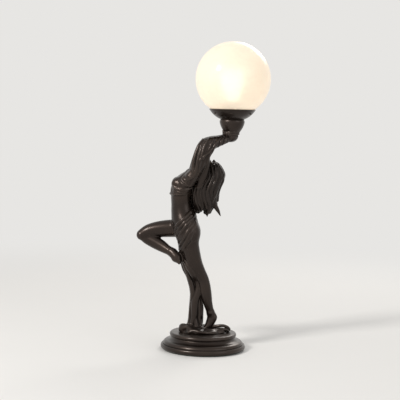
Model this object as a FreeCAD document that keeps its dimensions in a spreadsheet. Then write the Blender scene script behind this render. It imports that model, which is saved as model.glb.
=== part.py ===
"""A figural table lamp: a dancer on tiptoe, leaning back, lifts a glass globe.

A stepped round base carries the cast figure. A steel conduit runs from the base through the falling drapery,
the torso and the far arm, and clamps hands, knob and bowl together below the lamp holder. The glass globe stands
on a soft ring in the bowl, where three small screws keep it, and lifts off once they are backed out.

Frame: +Z up, origin at the middle of the face that the lamp rests on. The figure looks along -X.
The near side of the figure is -Y and its far side is +Y. Lengths are millimetres.
"""

import FreeCAD, Part
import Sketcher
import math
import os

from FreeCAD import Placement, Rotation, Vector

doc = FreeCAD.newDocument("dancer_lamp")
FAR = 400.0  # reach of a trimming block, well past the figure

# ---------------------------------------------------------------- driving dimensions

DIMENSIONS = {
    # base: radii are set in from the foot's edge or the ring outside them, and each step stands on the one below
    "foot_radius": 89.4, "foot_height": 12.0, "foot_bulge": 2.5,
    "felt_inset": 5.4, "felt_thickness": 2.0,
    "plate_inset": 9.9, "plate_thickness": 1.5, "plate_clearance": 0.3, "plate_seat": 6.5, "cavity_sill": 2.0,
    "roll_inset": 5.0, "roll_lip": 1.4, "roll_step": 1.2, "roll_depth": 6.0, "roll_height": 7.4, "roll_round": 8.0,
    "flare_depth": 11.4, "flare_height": 7.6, "cove_round": 14.0,
    "disc_inset": 18.8, "disc_thickness": 9.0, "disc_bulge": 4.0, "plinth_wall": 5.0,
    "plate_screw_inset": 3.3, "plate_screw_radius": 1.5, "plate_screw_head_radius": 2.6,
    "plate_screw_length": 8.0, "plate_screw_head_height": 1.1,
    "ballast_width": 26.0, "ballast_bore": 30.0, "ballast_height": 13.0,
    # cord inlet
    "inlet_level": 10.0, "grommet_radius": 5.0, "grommet_bore": 3.6, "grommet_collar_radius": 6.4,
    "grommet_collar": 3.5, "grommet_length": 15.0, "collar_inset": 2.4, "collar_clearance": 0.1,
    # wiring
    "conduit_radius": 4.0, "conduit_bore": 2.4, "lead_radius": 1.8, "running_clearance": 0.1,
    "nut_height": 5.0, "nut_across_flats": 14.0, "conduit_end": 3.0,
    "terminal_length": 24.0, "terminal_width": 14.0, "terminal_height": 9.0, "terminal_screw_radius": 1.6,
    "terminal_screw_length": 8.0, "terminal_screw_head": 0.6, "terminal_x": 2.0, "terminal_y": -13.0,
    "lead_gap": 0.3,
    # lamp axis, knob and bowl; the hands are above the base's disc
    "lamp_axis": 51.0, "hand_height": 422.0, "knob_foot_radius": 15.3, "knob_foot_step": 2.0, "knob_bulge": 11.0,
    "knob_rise": 22.0, "knob_round": 46.0, "knob_shoulder": 8.0, "knob_shoulder_round": 9.0, "knob_floor": 5.0,
    "knob_wall": 3.0, "bowl_foot_inset": 1.5, "bowl_depth": 21.5, "bowl_wall": 2.4, "bowl_round": 50.0,
    "rim_thickness": 1.3, "rim_gap": 0.88, "rim_band": 1.0, "ledge_height": 9.0, "ledge_margin": 1.2,
    "well_inset": 6.5,
    # globe
    "globe_radius": 80.0, "glass_wall": 3.0, "neck_radius": 36.0, "neck_height": 4.06,
    "shoulder_rise": 6.0, "seat_ring_height": 1.5, "seat_ring_width": 4.5,
    "gallery_screw_radius": 1.5, "gallery_screw_length": 8.0, "gallery_screw_rise": 3.0, "screw_gap": 1.0,
    # lamp holder and bulb
    "holder_wall": 6.22, "holder_height": 32.0, "holder_floor": 8.0, "socket_bore": 13.28, "holder_split": 12.0,
    "holder_foot_inset": 7.0, "holder_round": 9.0, "socket_wall": 2.5, "contact_plate": 1.5, "contact_hood": 1.4,
    "bulb_radius": 25.0, "bulb_stem": 42.6, "bulb_wall": 1.0, "bulb_cap_clearance": 0.08, "bulb_cap_wall": 1.2,
    "bulb_cap_taper": 4.0, "bulb_neck_inset": 0.4, "contact_radius": 5.0, "contact_height": 1.6,
    # figure
    "head_height": 49.0, "cast_wall": 5.0,
}

# The figure's landmarks: joints of the body, and points of the hair, the cloth and the conduit inside. The last
# figure of each is the height above the base's disc.
LANDMARKS = {
    "near_hip": (-34.0, -17.0, 208.0), "near_knee": (-3.0, -9.0, 114.0), "near_ankle": (15.0, 2.0, 40.0),
    "near_heel": (22.0, 3.0, 27.0), "near_toes": (10.0, 2.0, 2.0),
    "far_hip": (-46.0, 17.0, 215.0), "far_knee": (-136.0, 25.0, 200.5), "far_ankle": (-69.0, -6.0, 173.0),
    "far_toes": (-54.0, -12.0, 150.0),
    "shoulders": (-34.0, 0.0, 342.0), "head": (13.0, 0.0, 345.0),
    "shoulder": (-32.0, 33.0, 334.0), "elbow": (-8.0, 32.0, 392.0), "wrist": (36.0, 10.0, 410.0),
    "duct_0": (-16.0, 5.0, 0.0), "duct_1": (-16.0, 5.0, 69.0), "duct_2": (-21.0, 6.0, 109.0),
    "duct_3": (-34.0, 6.0, 149.0), "duct_4": (-42.0, 4.0, 186.0), "duct_5": (-48.0, 0.5, 226.0),
    "duct_6": (-52.0, 0.0, 264.0), "duct_7": (-50.0, 6.0, 298.0), "duct_8": (-37.0, 26.0, 324.0),
    "duct_9": (-28.0, 33.0, 349.0), "duct_10": (-16.0, 34.0, 376.0), "duct_11": (-5.0, 31.0, 394.0),
    "duct_12": (16.0, 20.0, 402.0), "duct_13": (36.0, 6.0, 408.5),
    "hem_corner": (-178.0, 0.0, 111.0), "hair_tip_1": (-2.0, -4.0, 246.0), "hair_tip_2": (26.0, 4.0, 247.0),
}

# Stacks of level ovals, from the lowest up. Each is: middle x, middle y, rise above the one before (the first above
# the base's disc), half depth, and how much wider than deep it is.
STACKS = {
    "column": [
        (-15.0, 5.0, 0.0, 19.5, 1.0), (-15.5, 5.0, 26.0, 16.5, 0.5), (-15.0, 5.0, 33.0, 15.0, 0.6),
        (-17.0, 5.0, 31.0, 14.0, 1.0), (-22.0, 5.0, 26.0, 15.2, 0.8), (-29.0, 3.9, 20.0, 16.5, 1.0),
    ],
    "drape": [
        (-29.0, 3.9, 136.0, 16.5, 1.0), (-35.0, 2.3, 18.0, 21.0, 1.0), (-38.0, 0.1, 24.0, 26.5, 5.5),
        (-38.0, 0.0, 20.0, 29.0, 11.0), (-39.0, 0.0, 18.0, 31.0, 11.5), (-43.0, 0.0, 20.0, 31.0, 9.0),
        (-48.0, 0.0, 20.0, 28.0, 6.0),
    ],
    "torso": [
        (-36.0, 0.0, 184.0, 19.0, 12.0), (-38.0, 0.0, 16.0, 25.0, 12.0), (-38.5, 0.0, 18.0, 27.0, 12.0),
        (-42.0, 0.0, 18.0, 27.0, 9.0), (-48.0, 0.0, 18.0, 24.5, 5.0), (-51.0, 0.0, 18.0, 22.0, 6.0),
        (-52.0, 0.0, 20.0, 22.5, 9.5), (-50.0, 0.0, 18.0, 22.0, 14.0), (-42.0, 0.0, 16.0, 18.0, 20.0),
        (-34.0, 0.0, 14.0, 10.0, 20.0),
    ],
    "hair": [
        (1.0, 0.0, 261.0, 21.0, 0.5), (-2.0, 0.0, 9.0, 25.0, 0.5), (-3.0, 0.0, 20.0, 26.5, 1.5),
        (0.0, 0.0, 20.0, 28.0, 1.0), (7.0, 0.0, 20.0, 25.0, 0.5), (7.0, 0.0, 18.0, 15.0, 3.0),
    ],
}

# Rounded forms: middle x, y and height above the base's disc, then half sizes along X, Y and Z.
LUMPS = {
    "breast_near": (-57.0, -16.0, 315.0, 14.0, 14.0, 13.5), "breast_far": (-57.0, 16.0, 315.0, 14.0, 14.0, 13.5),
    "hair_crown": (16.0, 0.0, 342.0, 22.0, 21.5, 17.5),
    "fold_front": (-22.0, -14.0, 3.0, 24.0, 26.0, 9.0), "fold_side": (6.0, -18.0, 2.0, 26.0, 22.0, 8.0),
    "fold_back": (8.0, 12.0, 2.0, 30.0, 16.0, 8.0), "fold_end": (38.0, 2.0, 2.0, 18.0, 15.0, 12.0),
}

sheet = doc.addObject("Spreadsheet::Sheet", "Sizes")


class Size(float):
    """A length that also knows the spreadsheet formula it comes from."""

    def __new__(cls, value, formula):
        size = float.__new__(cls, value)
        size.formula = formula
        return size

    def __add__(self, other):
        return Size(float(self) + float(other), f"({self.formula} + {formula_of(other)})")

    def __sub__(self, other):
        return Size(float(self) - float(other), f"({self.formula} - {formula_of(other)})")

    def __mul__(self, other):
        return Size(float(self) * float(other), f"{self.formula} * {formula_of(other)}")

    def __truediv__(self, other):
        return Size(float(self) / float(other), f"{self.formula} / ({formula_of(other)})")

    def __neg__(self):
        return Size(-float(self), f"(0 - {self.formula})")

    __radd__, __rmul__ = __add__, __mul__


def formula_of(value):
    return value.formula if isinstance(value, Size) else repr(float(value))


class Named:
    """The sheet's cells, as attributes."""


S = Named()


def add_cell(name, value):
    """Writes a size into the sheet: a plain number, or a formula where it is worked out from other sizes."""
    row = len(vars(S)) + 1
    content = "=" + value.formula.replace("Sizes.", "") if isinstance(value, Size) else repr(float(value))
    sheet.set(f"A{row}", name)
    sheet.set(f"B{row}", content)
    sheet.setAlias(f"B{row}", name)
    setattr(S, name, Size(value, f"Sizes.{name}"))


for name, value in DIMENSIONS.items():
    add_cell(name, value)
for name, place in LANDMARKS.items():
    for axis, value in zip("xyz", place):
        add_cell(f"{name}_{axis}", value)
for name, levels in STACKS.items():
    for i, level in enumerate(levels):
        for part, value in zip(("x", "y", "rise", "depth", "more"), level):
            add_cell(f"{name}_{i}_{part}", value)
for name, lump in LUMPS.items():
    for part, value in zip(("x", "y", "z", "along", "across", "upright"), lump):
        add_cell(f"{name}_{part}", value)


def root(value):
    return Size(math.sqrt(value), f"sqrt({value.formula})")


def across_sphere(radius, height):
    """How wide a sphere is at a height above or below its middle."""
    return root(radius * radius - height * height)


add_cell("foot_edge", S.foot_radius - S.foot_bulge)
add_cell("plate_radius", S.foot_radius - S.plate_inset)
add_cell("cavity_radius", S.plate_radius - S.plate_seat)
add_cell("roll_radius", S.foot_radius - S.roll_inset)
add_cell("cove_radius", S.roll_radius - S.roll_depth)
add_cell("flare_top_radius", S.cove_radius - S.flare_depth)
add_cell("disc_edge", S.foot_radius - S.disc_inset - S.disc_bulge)
add_cell("plate_screw_circle", S.plate_radius - S.plate_screw_inset)
add_cell("collar_seat", S.foot_radius - S.collar_inset)
add_cell("cove_level", S.foot_height + S.roll_height)
add_cell("flare_top_level", S.cove_level + S.flare_height)
add_cell("disc_top", S.flare_top_level + S.disc_thickness)
add_cell("hand_top", S.disc_top + S.hand_height)
add_cell("knob_radius", S.knob_foot_radius + S.knob_bulge)
add_cell("knob_level", S.hand_top + S.knob_rise)
add_cell("bowl_floor", S.knob_level + S.knob_shoulder)
add_cell("bowl_foot_radius", S.knob_radius - S.bowl_foot_inset)
add_cell("bowl_rim_level", S.bowl_floor + S.bowl_depth)
add_cell("ledge_level", S.bowl_floor + S.ledge_height)
add_cell("ring_top", S.ledge_level + S.seat_ring_height)
add_cell("globe_centre", S.ring_top + S.neck_height + across_sphere(S.globe_radius, S.neck_radius))
add_cell("neck_top", S.ring_top + S.neck_height)
add_cell("shoulder_top", S.neck_top + S.shoulder_rise)
add_cell("rim_inner", across_sphere(S.globe_radius, S.globe_centre - S.bowl_rim_level) + S.rim_gap)
add_cell("bowl_rim_radius", S.rim_inner + S.rim_thickness)
add_cell("holder_foot", S.bowl_floor + S.bowl_wall + S.nut_height)
add_cell("holder_radius", S.socket_bore + S.holder_wall)
add_cell("holder_top", S.holder_foot + S.holder_height)
add_cell("socket_floor", S.holder_foot + S.holder_floor)
add_cell("bulb_cap_radius", S.socket_bore - S.bulb_cap_clearance)
add_cell("bulb_neck_radius", S.bulb_cap_radius - S.bulb_neck_inset)
add_cell("bulb_centre", S.holder_top + S.bulb_stem)
doc.recompute()


def mark(name, side=1):
    """A landmark of the figure as three sizes; side -1 mirrors a far one to the near side."""
    return getattr(S, name + "_x"), getattr(S, name + "_y") * side, S.disc_top + getattr(S, name + "_z")


def bulged(chord, bulge):
    """The radius of an arc that stands out by bulge from its chord."""
    return (chord * chord / 4 + bulge * bulge) / (bulge * 2)


def bind(thing, **sizes):
    """Sets properties and binds them to the sheet's cells."""
    for name, value in sizes.items():
        setattr(thing, name, float(value))
        if isinstance(value, Size):
            thing.setExpression(name, value.formula)
    return thing


def place(thing, x=0.0, y=0.0, z=0.0, turn=None):
    """Puts a thing at x, y, z, each bound to the sheet where it is a size."""
    thing.Placement = Placement(Vector(float(x), float(y), float(z)), turn or Rotation())
    for axis, value in (("x", x), ("y", y), ("z", z)):
        if isinstance(value, Size):
            thing.setExpression(f"Placement.Base.{axis}", value.formula)
    return thing


# ---------------------------------------------------------------- ways of making a piece

def cylinder(name, radius, height, x=0.0, y=0.0, z=0.0, turn=None):
    return place(bind(doc.addObject("Part::Cylinder", name), Radius=radius, Height=height), x, y, z, turn)


def box(name, length, width, height, x=0.0, y=0.0, z=0.0):
    return place(bind(doc.addObject("Part::Box", name), Length=length, Width=width, Height=height), x, y, z)


def ball(name, centre, along, across, upright, turn=None):
    """An ellipsoid with half sizes along X, Y and Z before it is turned."""
    solid = bind(doc.addObject("Part::Ellipsoid", name), Radius1=upright, Radius2=along, Radius3=across)
    solid.Angle1, solid.Angle2, solid.Angle3 = -90, 90, 360
    return place(solid, *centre, turn=turn)


def lump(name, turn=None):
    """One of the rounded forms listed above."""
    return ball(name, mark(name), getattr(S, name + "_along"), getattr(S, name + "_across"),
                getattr(S, name + "_upright"), turn)


def joined(name, pieces):
    whole = doc.addObject("Part::MultiFuse", name)
    whole.Shapes = pieces
    return whole


def less(name, base, *tools):
    """base with the tools cut away, one after the other."""
    for count, tool in enumerate(tools):
        cut = doc.addObject("Part::Cut", name if count == len(tools) - 1 else f"{name}_cut_{count}")
        cut.Base, cut.Tool = base, tool
        base = cut
    return base


def within(name, base, block):
    common = doc.addObject("Part::Common", name)
    common.Base, common.Tool = base, block
    return common


def turned(label, profile, x=0.0, y=0.0, blown=False):
    """A turned piece: a closed profile of (radius, level) corners, revolved about the vertical axis at x, y.

    A corner written (radius, level, r) is reached along an arc of radius r instead of a straight line. A positive r
    puts the arc's middle on the left of the way there, a negative r on the right. Blown pieces, whose walls are
    parts of spheres, are revolved from a free sketch instead of one in a body.
    """
    if blown:
        sketch = doc.addObject("Sketcher::SketchObject", label + "_profile")
        sketch.Placement = Placement(Vector(), Rotation(Vector(1, 0, 0), 90))
    else:
        body = doc.addObject("PartDesign::Body", label)
        body.Label = label
        sketch = body.newObject("Sketcher::SketchObject", label + "_profile")
        plane = [f for f in body.Origin.OriginFeatures if f.Role == "XZ_Plane"][0]
        sketch.AttachmentSupport = [(plane, "")]
        sketch.MapMode = "FlatFace"
    corners = [Vector(float(c[0]), float(c[1]), 0) for c in profile]
    for i, corner in enumerate(profile):
        start, end = corners[i - 1], corners[i]
        if len(corner) == 2:
            sketch.addGeometry(Part.LineSegment(start, end), False)
            continue
        side = math.copysign(1, corner[2])
        chord = end - start
        rise = math.sqrt(max(float(corner[2]) ** 2 - chord.Length ** 2 / 4, 0.0))
        normal = Vector(-chord.y, chord.x, 0).normalize() * side
        middle = (start + end) * 0.5 + normal * rise
        bulge = middle - normal * abs(float(corner[2]))
        first, last = (start, end) if side > 0 else (end, start)
        sketch.addGeometry(Part.Arc(first, bulge, last), False)
    rules, formulas = [], {}
    for i, corner in enumerate(profile):
        after = (i + 1) % len(profile)
        here, following = end_point(sketch, i, corners[i]), end_point(sketch, after, corners[i])
        rules.append(Sketcher.Constraint("Coincident", i, here, after, following))
        for way, value, other in (("DistanceX", corner[0], -2), ("DistanceY", corner[1], -1)):
            if float(value) == 0.0:
                rules.append(Sketcher.Constraint("PointOnObject", i, here, other))
                continue
            formulas[len(rules)] = value
            rules.append(Sketcher.Constraint(way, i, here, float(value)))
        if len(corner) == 3:
            formulas[len(rules)] = corner[2] if corner[2] > 0 else -corner[2]
            rules.append(Sketcher.Constraint("Radius", i, abs(float(corner[2]))))
    sketch.addConstraint(rules)
    for index, value in formulas.items():
        if isinstance(value, Size):
            sketch.setExpression(f"Constraints[{index}]", value.formula)
    if blown:
        turn = doc.addObject("Part::Revolution", label)
        turn.Source, turn.Axis, turn.Base = sketch, Vector(0, 0, 1), Vector()
        turn.Angle, turn.Solid = 360.0, True
        return place(turn, x, y, 0.0)
    turn = body.newObject("PartDesign::Revolution", label + "_turn")
    turn.Profile = sketch
    turn.ReferenceAxis = (sketch, ["V_Axis"])
    turn.Angle = 360.0
    return place(body, x, y, 0.0)


def end_point(sketch, index, point):
    """1 if the curve starts at the point, and 2 if it ends there."""
    curve = sketch.Geometry[index]
    return 1 if (curve.StartPoint - point).Length < (curve.EndPoint - point).Length else 2


def limb(name, stations, upright=False):
    """A limb lofted through ellipses.

    Each station is (landmark, landmark, share of the way, half depth, half width, nudge): depth is measured in the
    figure's own profile and width across it, both in head heights, and nudge moves the middle in profile. The larger
    of the two is the same one along a whole limb: depth, or width where upright is true.
    """
    centres = [between(a, b, share, nudge) for a, b, share, _, _, nudge in stations]
    sections = []
    for i, (_, _, _, depth, width, _) in enumerate(stations):
        back, ahead = centres[max(i - 1, 0)], centres[min(i + 1, len(centres) - 1)]
        way = Vector(*ahead) - Vector(*back)
        section = doc.addObject("Part::Ellipse", f"{name}_section_{i}")
        large, small = (width, depth) if upright else (depth, width)
        bind(section, MajorRadius=S.head_height * large, MinorRadius=S.head_height * small)
        across = Vector(0, 1, 0)
        forward = across.cross(way)
        axes = (across, forward) if upright else (forward, across)
        place(section, *centres[i], turn=Rotation(axes[0], axes[1], way, "ZXY"))
        sections.append(section)
    loft = doc.addObject("Part::Loft", name)
    loft.Sections = sections
    loft.Solid, loft.Ruled, loft.Closed = True, False, False
    return loft


def between(a, b, share, nudge):
    """The point a share of the way from a to b, both three sizes, moved by nudge in profile."""
    x, y, z = ((p * (1 - share)) + (q * share) for p, q in zip(a, b))
    return x + nudge[0], y, z + nudge[1]


def rounded(points, level_share=0.45):
    """A wire of straight runs and tangent arcs through points; each arc takes that share of its shorter run."""
    points = [Vector(*map(float, p)) for p in points]
    edges, last = [], points[0]
    for before, corner, after in zip(points, points[1:], points[2:]):
        back, ahead = (before - corner), (after - corner)
        setback = level_share * min(back.Length, ahead.Length)
        start = corner + back.normalize() * setback
        end = corner + ahead.normalize() * setback
        half_turn = (math.pi - back.getAngle(ahead)) / 2
        radius = setback / math.tan(half_turn)
        middle = (start + end) * 0.5
        centre = corner + (middle - corner).normalize() * (radius / math.cos(half_turn))
        bulge = centre + (corner - centre).normalize() * radius
        edges += [Part.LineSegment(last, start).toShape(), Part.Arc(start, bulge, end).toShape()]
        last = end
    edges.append(Part.LineSegment(last, points[-1]).toShape())
    return Part.Wire(edges)


def pipe(name, path, radius, bore=None):
    """A round bar or tube swept along a path."""
    start = path.Edges[0].valueAt(path.Edges[0].FirstParameter)
    way = path.Edges[0].tangentAt(path.Edges[0].FirstParameter)
    feature = doc.addObject("Part::Feature", name)
    solids = []
    for r in [radius] + ([bore] if bore else []):
        ring = Part.Wire([Part.makeCircle(float(r), start, way)])
        solids.append(path.makePipeShell([ring], True, False))
    feature.Shape = solids[0].cut(solids[1]) if bore else solids[0]
    return feature


def hexagon(name, across, height, x, y, z, bore):
    """A hexagonal nut with a plain bore."""
    prism = bind(doc.addObject("Part::Prism", name + "_blank"), Circumradius=across / math.sqrt(3), Height=height)
    prism.Polygon = 6
    place(prism, x, y, z)
    return less(name, prism, cylinder(name + "_bore", bore, height, x, y, z))


def ring_of(name, piece, count, first=0.0):
    """Copies of a piece's shape, evenly turned about the lamp's base axis, as separate solids in one feature."""
    doc.recompute()
    feature = doc.addObject("Part::Feature", name)
    turns = [Rotation(Vector(0, 0, 1), first + 360.0 * i / count) for i in range(count)]
    feature.Shape = Part.makeCompound([piece.Shape.transformed(Placement(Vector(), t).toMatrix()) for t in turns])
    return feature


PIECES = {}


def keep(label, feature):
    """Makes a feature one of the lamp's pieces."""
    if feature.TypeId != "PartDesign::Body":
        feature.Label = label
    PIECES[label] = feature
    return feature


# ---------------------------------------------------------------- the wiring's route

inner_ceiling = S.disc_top - S.plinth_wall
CONDUIT_ROUTE = [(S.duct_0_x, S.duct_0_y, inner_ceiling - S.nut_height - S.conduit_end)]
CONDUIT_ROUTE += [mark(f"duct_{i}") for i in range(1, 14)]
CONDUIT_ROUTE += [(S.lamp_axis, 0.0, S.hand_top - 6), (S.lamp_axis, 0.0, S.holder_foot)]
conduit_path = rounded(CONDUIT_ROUTE)
conduit_hole = pipe("conduit_hole", conduit_path, S.conduit_radius + S.running_clearance / 2)

# ---------------------------------------------------------------- base

LEVEL_WAY = Rotation(Vector(0, 0, 1), Vector(0, 1, 0))  # from the inside of the base out through its back
plate_top = S.felt_thickness + S.plate_thickness
plinth = turned("plinth_blank", [
    (0.0, inner_ceiling),
    (S.flare_top_radius - S.plinth_wall, inner_ceiling),
    (S.cavity_radius, S.foot_height + S.cavity_sill),
    (S.cavity_radius, plate_top),
    (S.plate_radius + S.plate_clearance, plate_top),
    (S.plate_radius + S.plate_clearance, S.felt_thickness),
    (S.foot_edge, S.felt_thickness),
    (S.foot_edge, S.foot_height, bulged(S.foot_height - S.felt_thickness, S.foot_bulge)),
    (S.roll_radius - S.roll_lip, S.foot_height),
    (S.roll_radius - S.roll_lip, S.foot_height + S.roll_step),
    (S.roll_radius, S.foot_height + S.roll_step),
    (S.cove_radius, S.cove_level, S.roll_round),
    (S.flare_top_radius, S.flare_top_level, -S.cove_round),
    (S.disc_edge, S.flare_top_level),
    (S.disc_edge, S.disc_top, bulged(S.disc_thickness, S.disc_bulge)),
    (0.0, S.disc_top),
])
collar_pocket = cylinder("collar_pocket", S.grommet_collar_radius + S.collar_clearance, S.grommet_length, 0.0,
                         S.collar_seat, S.inlet_level, LEVEL_WAY)
inlet_hole = cylinder("inlet_hole", S.grommet_radius, S.foot_radius, 0.0, S.cavity_radius - S.grommet_length,
                      S.inlet_level, LEVEL_WAY)
screw_pilot = cylinder("screw_pilot", S.plate_screw_radius, S.plate_screw_length, S.plate_screw_circle, 0.0,
                       S.felt_thickness)
pilots = ring_of("screw_pilots", screw_pilot, 3, 30.0)
keep("plinth", less("plinth", plinth, collar_pocket, inlet_hole, pilots, conduit_hole))

keep("ballast_ring", turned("ballast_ring", [
    (S.ballast_bore, inner_ceiling), (S.ballast_bore, inner_ceiling - S.ballast_height),
    (S.ballast_bore + S.ballast_width, inner_ceiling - S.ballast_height),
    (S.ballast_bore + S.ballast_width, inner_ceiling),
]))
plate_screw = joined("plate_screw", [
    bind(place(doc.addObject("Part::Cone", "plate_screw_head"), S.plate_screw_circle, 0.0, S.felt_thickness),
         Radius1=S.plate_screw_head_radius, Radius2=S.plate_screw_radius, Height=S.plate_screw_head_height),
    cylinder("plate_screw_shank", S.plate_screw_radius, S.plate_screw_length, S.plate_screw_circle, 0.0,
             S.felt_thickness),
])
plate_screws = keep("bottom_plate_screws", ring_of("bottom_plate_screws", plate_screw, 3, 30.0))
plate_blank = cylinder("plate_blank", S.plate_radius, S.plate_thickness, 0.0, 0.0, S.felt_thickness)
keep("bottom_plate", less("bottom_plate", plate_blank, plate_screws))
keep("felt_pad", cylinder("felt_pad", S.foot_radius - S.felt_inset, S.felt_thickness))

keep("cord_grommet", less("cord_grommet", joined("grommet_blank", [
    cylinder("grommet_tube", S.grommet_radius, S.grommet_length, 0.0, S.collar_seat - S.grommet_length,
             S.inlet_level, LEVEL_WAY),
    cylinder("grommet_collar", S.grommet_collar_radius, S.grommet_collar, 0.0, S.collar_seat, S.inlet_level,
             LEVEL_WAY),
]), cylinder("grommet_way", S.grommet_bore, S.foot_radius, 0.0, S.collar_seat - S.grommet_length * 2, S.inlet_level,
             LEVEL_WAY)))

keep("conduit_nut", hexagon("conduit_nut", S.nut_across_flats, S.nut_height, S.duct_0_x, S.duct_0_y,
                            inner_ceiling - S.nut_height, S.conduit_radius))
terminal_blank = box("terminal_blank", S.terminal_length, S.terminal_width, S.terminal_height, S.terminal_x,
                     S.terminal_y, inner_ceiling - S.terminal_height)
terminal_screw = [cylinder(f"terminal_screw_{i}", S.terminal_screw_radius, S.terminal_screw_length,
                           S.terminal_x + S.terminal_length * share, S.terminal_y + S.terminal_width * 0.286,
                           inner_ceiling - S.terminal_height - S.terminal_screw_head)
                  for i, share in enumerate((0.25, 0.75))]
keep("terminal_screws", joined("terminal_screws", terminal_screw))
keep("terminal_block", less("terminal_block", terminal_blank, *terminal_screw))

# ---------------------------------------------------------------- figure
# Each station is (landmark, landmark, share of the way, half depth, half width, nudge in profile).

HIP, KNEE, ANKLE, HEEL, TOES = (mark("near_" + n) for n in ("hip", "knee", "ankle", "heel", "toes"))
standing_blank = limb("standing_leg_blank", [
    (HIP, KNEE, -0.12, 0.38, 0.35, (0, 0)),
    (HIP, KNEE, 0.25, 0.37, 0.34, (-1, 0)),
    (HIP, KNEE, 0.6, 0.31, 0.29, (-2, 0)),
    (HIP, KNEE, 1.0, 0.25, 0.235, (0, 0)),
    (KNEE, ANKLE, 0.35, 0.255, 0.235, (3, 0)),
    (KNEE, ANKLE, 0.75, 0.19, 0.18, (2, 0)),
    (KNEE, ANKLE, 1.02, 0.165, 0.155, (0, 0)),
    (HEEL, TOES, 0.3, 0.185, 0.17, (0, 0)),
    (HEEL, TOES, 1.2, 0.17, 0.165, (-2, 0)),
])
HIP, KNEE, ANKLE, TOES = (mark("far_" + n) for n in ("hip", "knee", "ankle", "toes"))
raised_thigh = limb("raised_thigh", [
    (HIP, KNEE, 0.0, 0.385, 0.37, (0, 0)),
    (HIP, KNEE, 0.4, 0.355, 0.34, (0, 0)),
    (HIP, KNEE, 0.8, 0.30, 0.28, (0, 0)),
    (HIP, KNEE, 1.02, 0.235, 0.22, (0, -1)),
    (HIP, KNEE, 1.12, 0.12, 0.11, (0, -1)),
])
raised_calf = limb("raised_calf", [
    (KNEE, ANKLE, -0.06, 0.19, 0.18, (-2, 0)),
    (KNEE, ANKLE, 0.1, 0.24, 0.225, (0, 0)),
    (KNEE, ANKLE, 0.45, 0.25, 0.235, (0, -1)),
    (KNEE, ANKLE, 0.85, 0.19, 0.18, (0, 0)),
    (KNEE, ANKLE, 1.05, 0.17, 0.165, (2, -1)),
])
raised_foot = limb("raised_foot", [
    (ANKLE, TOES, -0.25, 0.16, 0.15, (0, 0)),
    (ANKLE, TOES, 0.2, 0.19, 0.18, (2, 0)),
    (ANKLE, TOES, 0.7, 0.17, 0.16, (2, 0)),
    (ANKLE, TOES, 1.05, 0.09, 0.085, (1, 0)),
])

def stack(name, source, first=0, last=None, inset=0.0):
    """A loft through the level ovals of a stack listed above, from the first to before the last."""
    sections, level = [], S.disc_top
    for i in range(len(STACKS[source])):
        x, y, rise, depth, more = (getattr(S, f"{source}_{i}_{part}") for part in ("x", "y", "rise", "depth", "more"))
        level = level + rise
        if i not in range(len(STACKS[source]))[first:last]:
            continue
        section = doc.addObject("Part::Ellipse", f"{name}_level_{i}")
        bind(section, MajorRadius=depth + more - inset, MinorRadius=depth - inset)
        place(section, x, y, level, Rotation(Vector(0, 1, 0), Vector(1, 0, 0), Vector(0, 0, 1), "ZXY"))
        sections.append(section)
    loft = doc.addObject("Part::Loft", name)
    loft.Sections = sections
    loft.Solid, loft.Ruled, loft.Closed = True, False, False
    return loft


def tip(name, lean):
    """The pointed end of a lock: a cone that widens upwards along lean."""
    cone = bind(doc.addObject("Part::Cone", name), Radius1=S.head_height * 0.03, Radius2=S.head_height * 0.175,
                Height=S.head_height * 0.43)
    return place(cone, *mark(name), turn=Rotation(Vector(0, 0, 1), lean))


HEAD_TILT = Rotation(Vector(0, 1, 0), 22)
throat = limb("throat", [
    (mark("shoulders"), mark("head"), -0.1, 0.25, 0.30, (0, 0)),
    (mark("shoulders"), mark("head"), 0.3, 0.22, 0.25, (0, 0)),
    (mark("shoulders"), mark("head"), 0.75, 0.20, 0.22, (0, 0)),
], upright=True)
torso_blank = joined("torso_blank", [stack("torso_body", "torso"), lump("breast_near"), lump("breast_far")])
torso_core = stack("torso_core", "torso", 1, -2, inset=S.cast_wall)

skull = ball("skull", mark("head"), S.head_height / 2, S.head_height * 0.36, S.head_height * 0.41, HEAD_TILT)
head_blank = joined("head_blank", [skull, throat])
hair_blank = joined("hair_blank", [
    lump("hair_crown", HEAD_TILT), stack("hair_fall", "hair"), tip("hair_tip_1", Vector(0, 0, 1)),
    tip("hair_tip_2", Vector(-9, 0, 20)),
])


def arm(name, side):
    """One sleeved arm, raised over the head."""
    shoulder, elbow, wrist = (mark(n, side) for n in ("shoulder", "elbow", "wrist"))
    upper = limb(name + "_upper", [
        (shoulder, elbow, -0.24, 0.14, 0.12, (0, 0)),
        (shoulder, elbow, -0.12, 0.26, 0.23, (0, 0)),
        (shoulder, elbow, 0.2, 0.34, 0.275, (0, 0)),
        (shoulder, elbow, 0.6, 0.365, 0.28, (0, 0)),
        (shoulder, elbow, 1.0, 0.35, 0.27, (0, 0)),
        (shoulder, elbow, 1.16, 0.26, 0.2, (0, 0)),
    ])
    fore = limb(name + "_fore", [
        (elbow, wrist, -0.12, 0.27, 0.22, (0, 0)),
        (elbow, wrist, 0.1, 0.35, 0.27, (0, 0)),
        (elbow, wrist, 0.5, 0.31, 0.25, (0, 0)),
        (elbow, wrist, 0.85, 0.235, 0.2, (0, 0)),
        (elbow, wrist, 1.1, 0.2, 0.18, (0, 0)),
    ])
    return joined(name + "_blank", [upper, fore])


near_blank, far_blank = arm("near_arm", -1), arm("far_arm", 1)
hands_blank = ball("hands_blank", (S.lamp_axis, 0.0, S.hand_top - S.head_height * 0.18), S.head_height * 0.337,
                   S.head_height * 0.347, S.head_height * 0.265)
above_hands = box("above_hands", FAR, FAR, FAR, -FAR / 2, -FAR / 2, S.hand_top)
far_side = box("far_side", FAR, FAR, FAR, -FAR / 2, 0.0, FAR / 2)
under_disc = box("under_disc", FAR, FAR, S.disc_top, -FAR / 2, -FAR / 2, 0.0)

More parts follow.
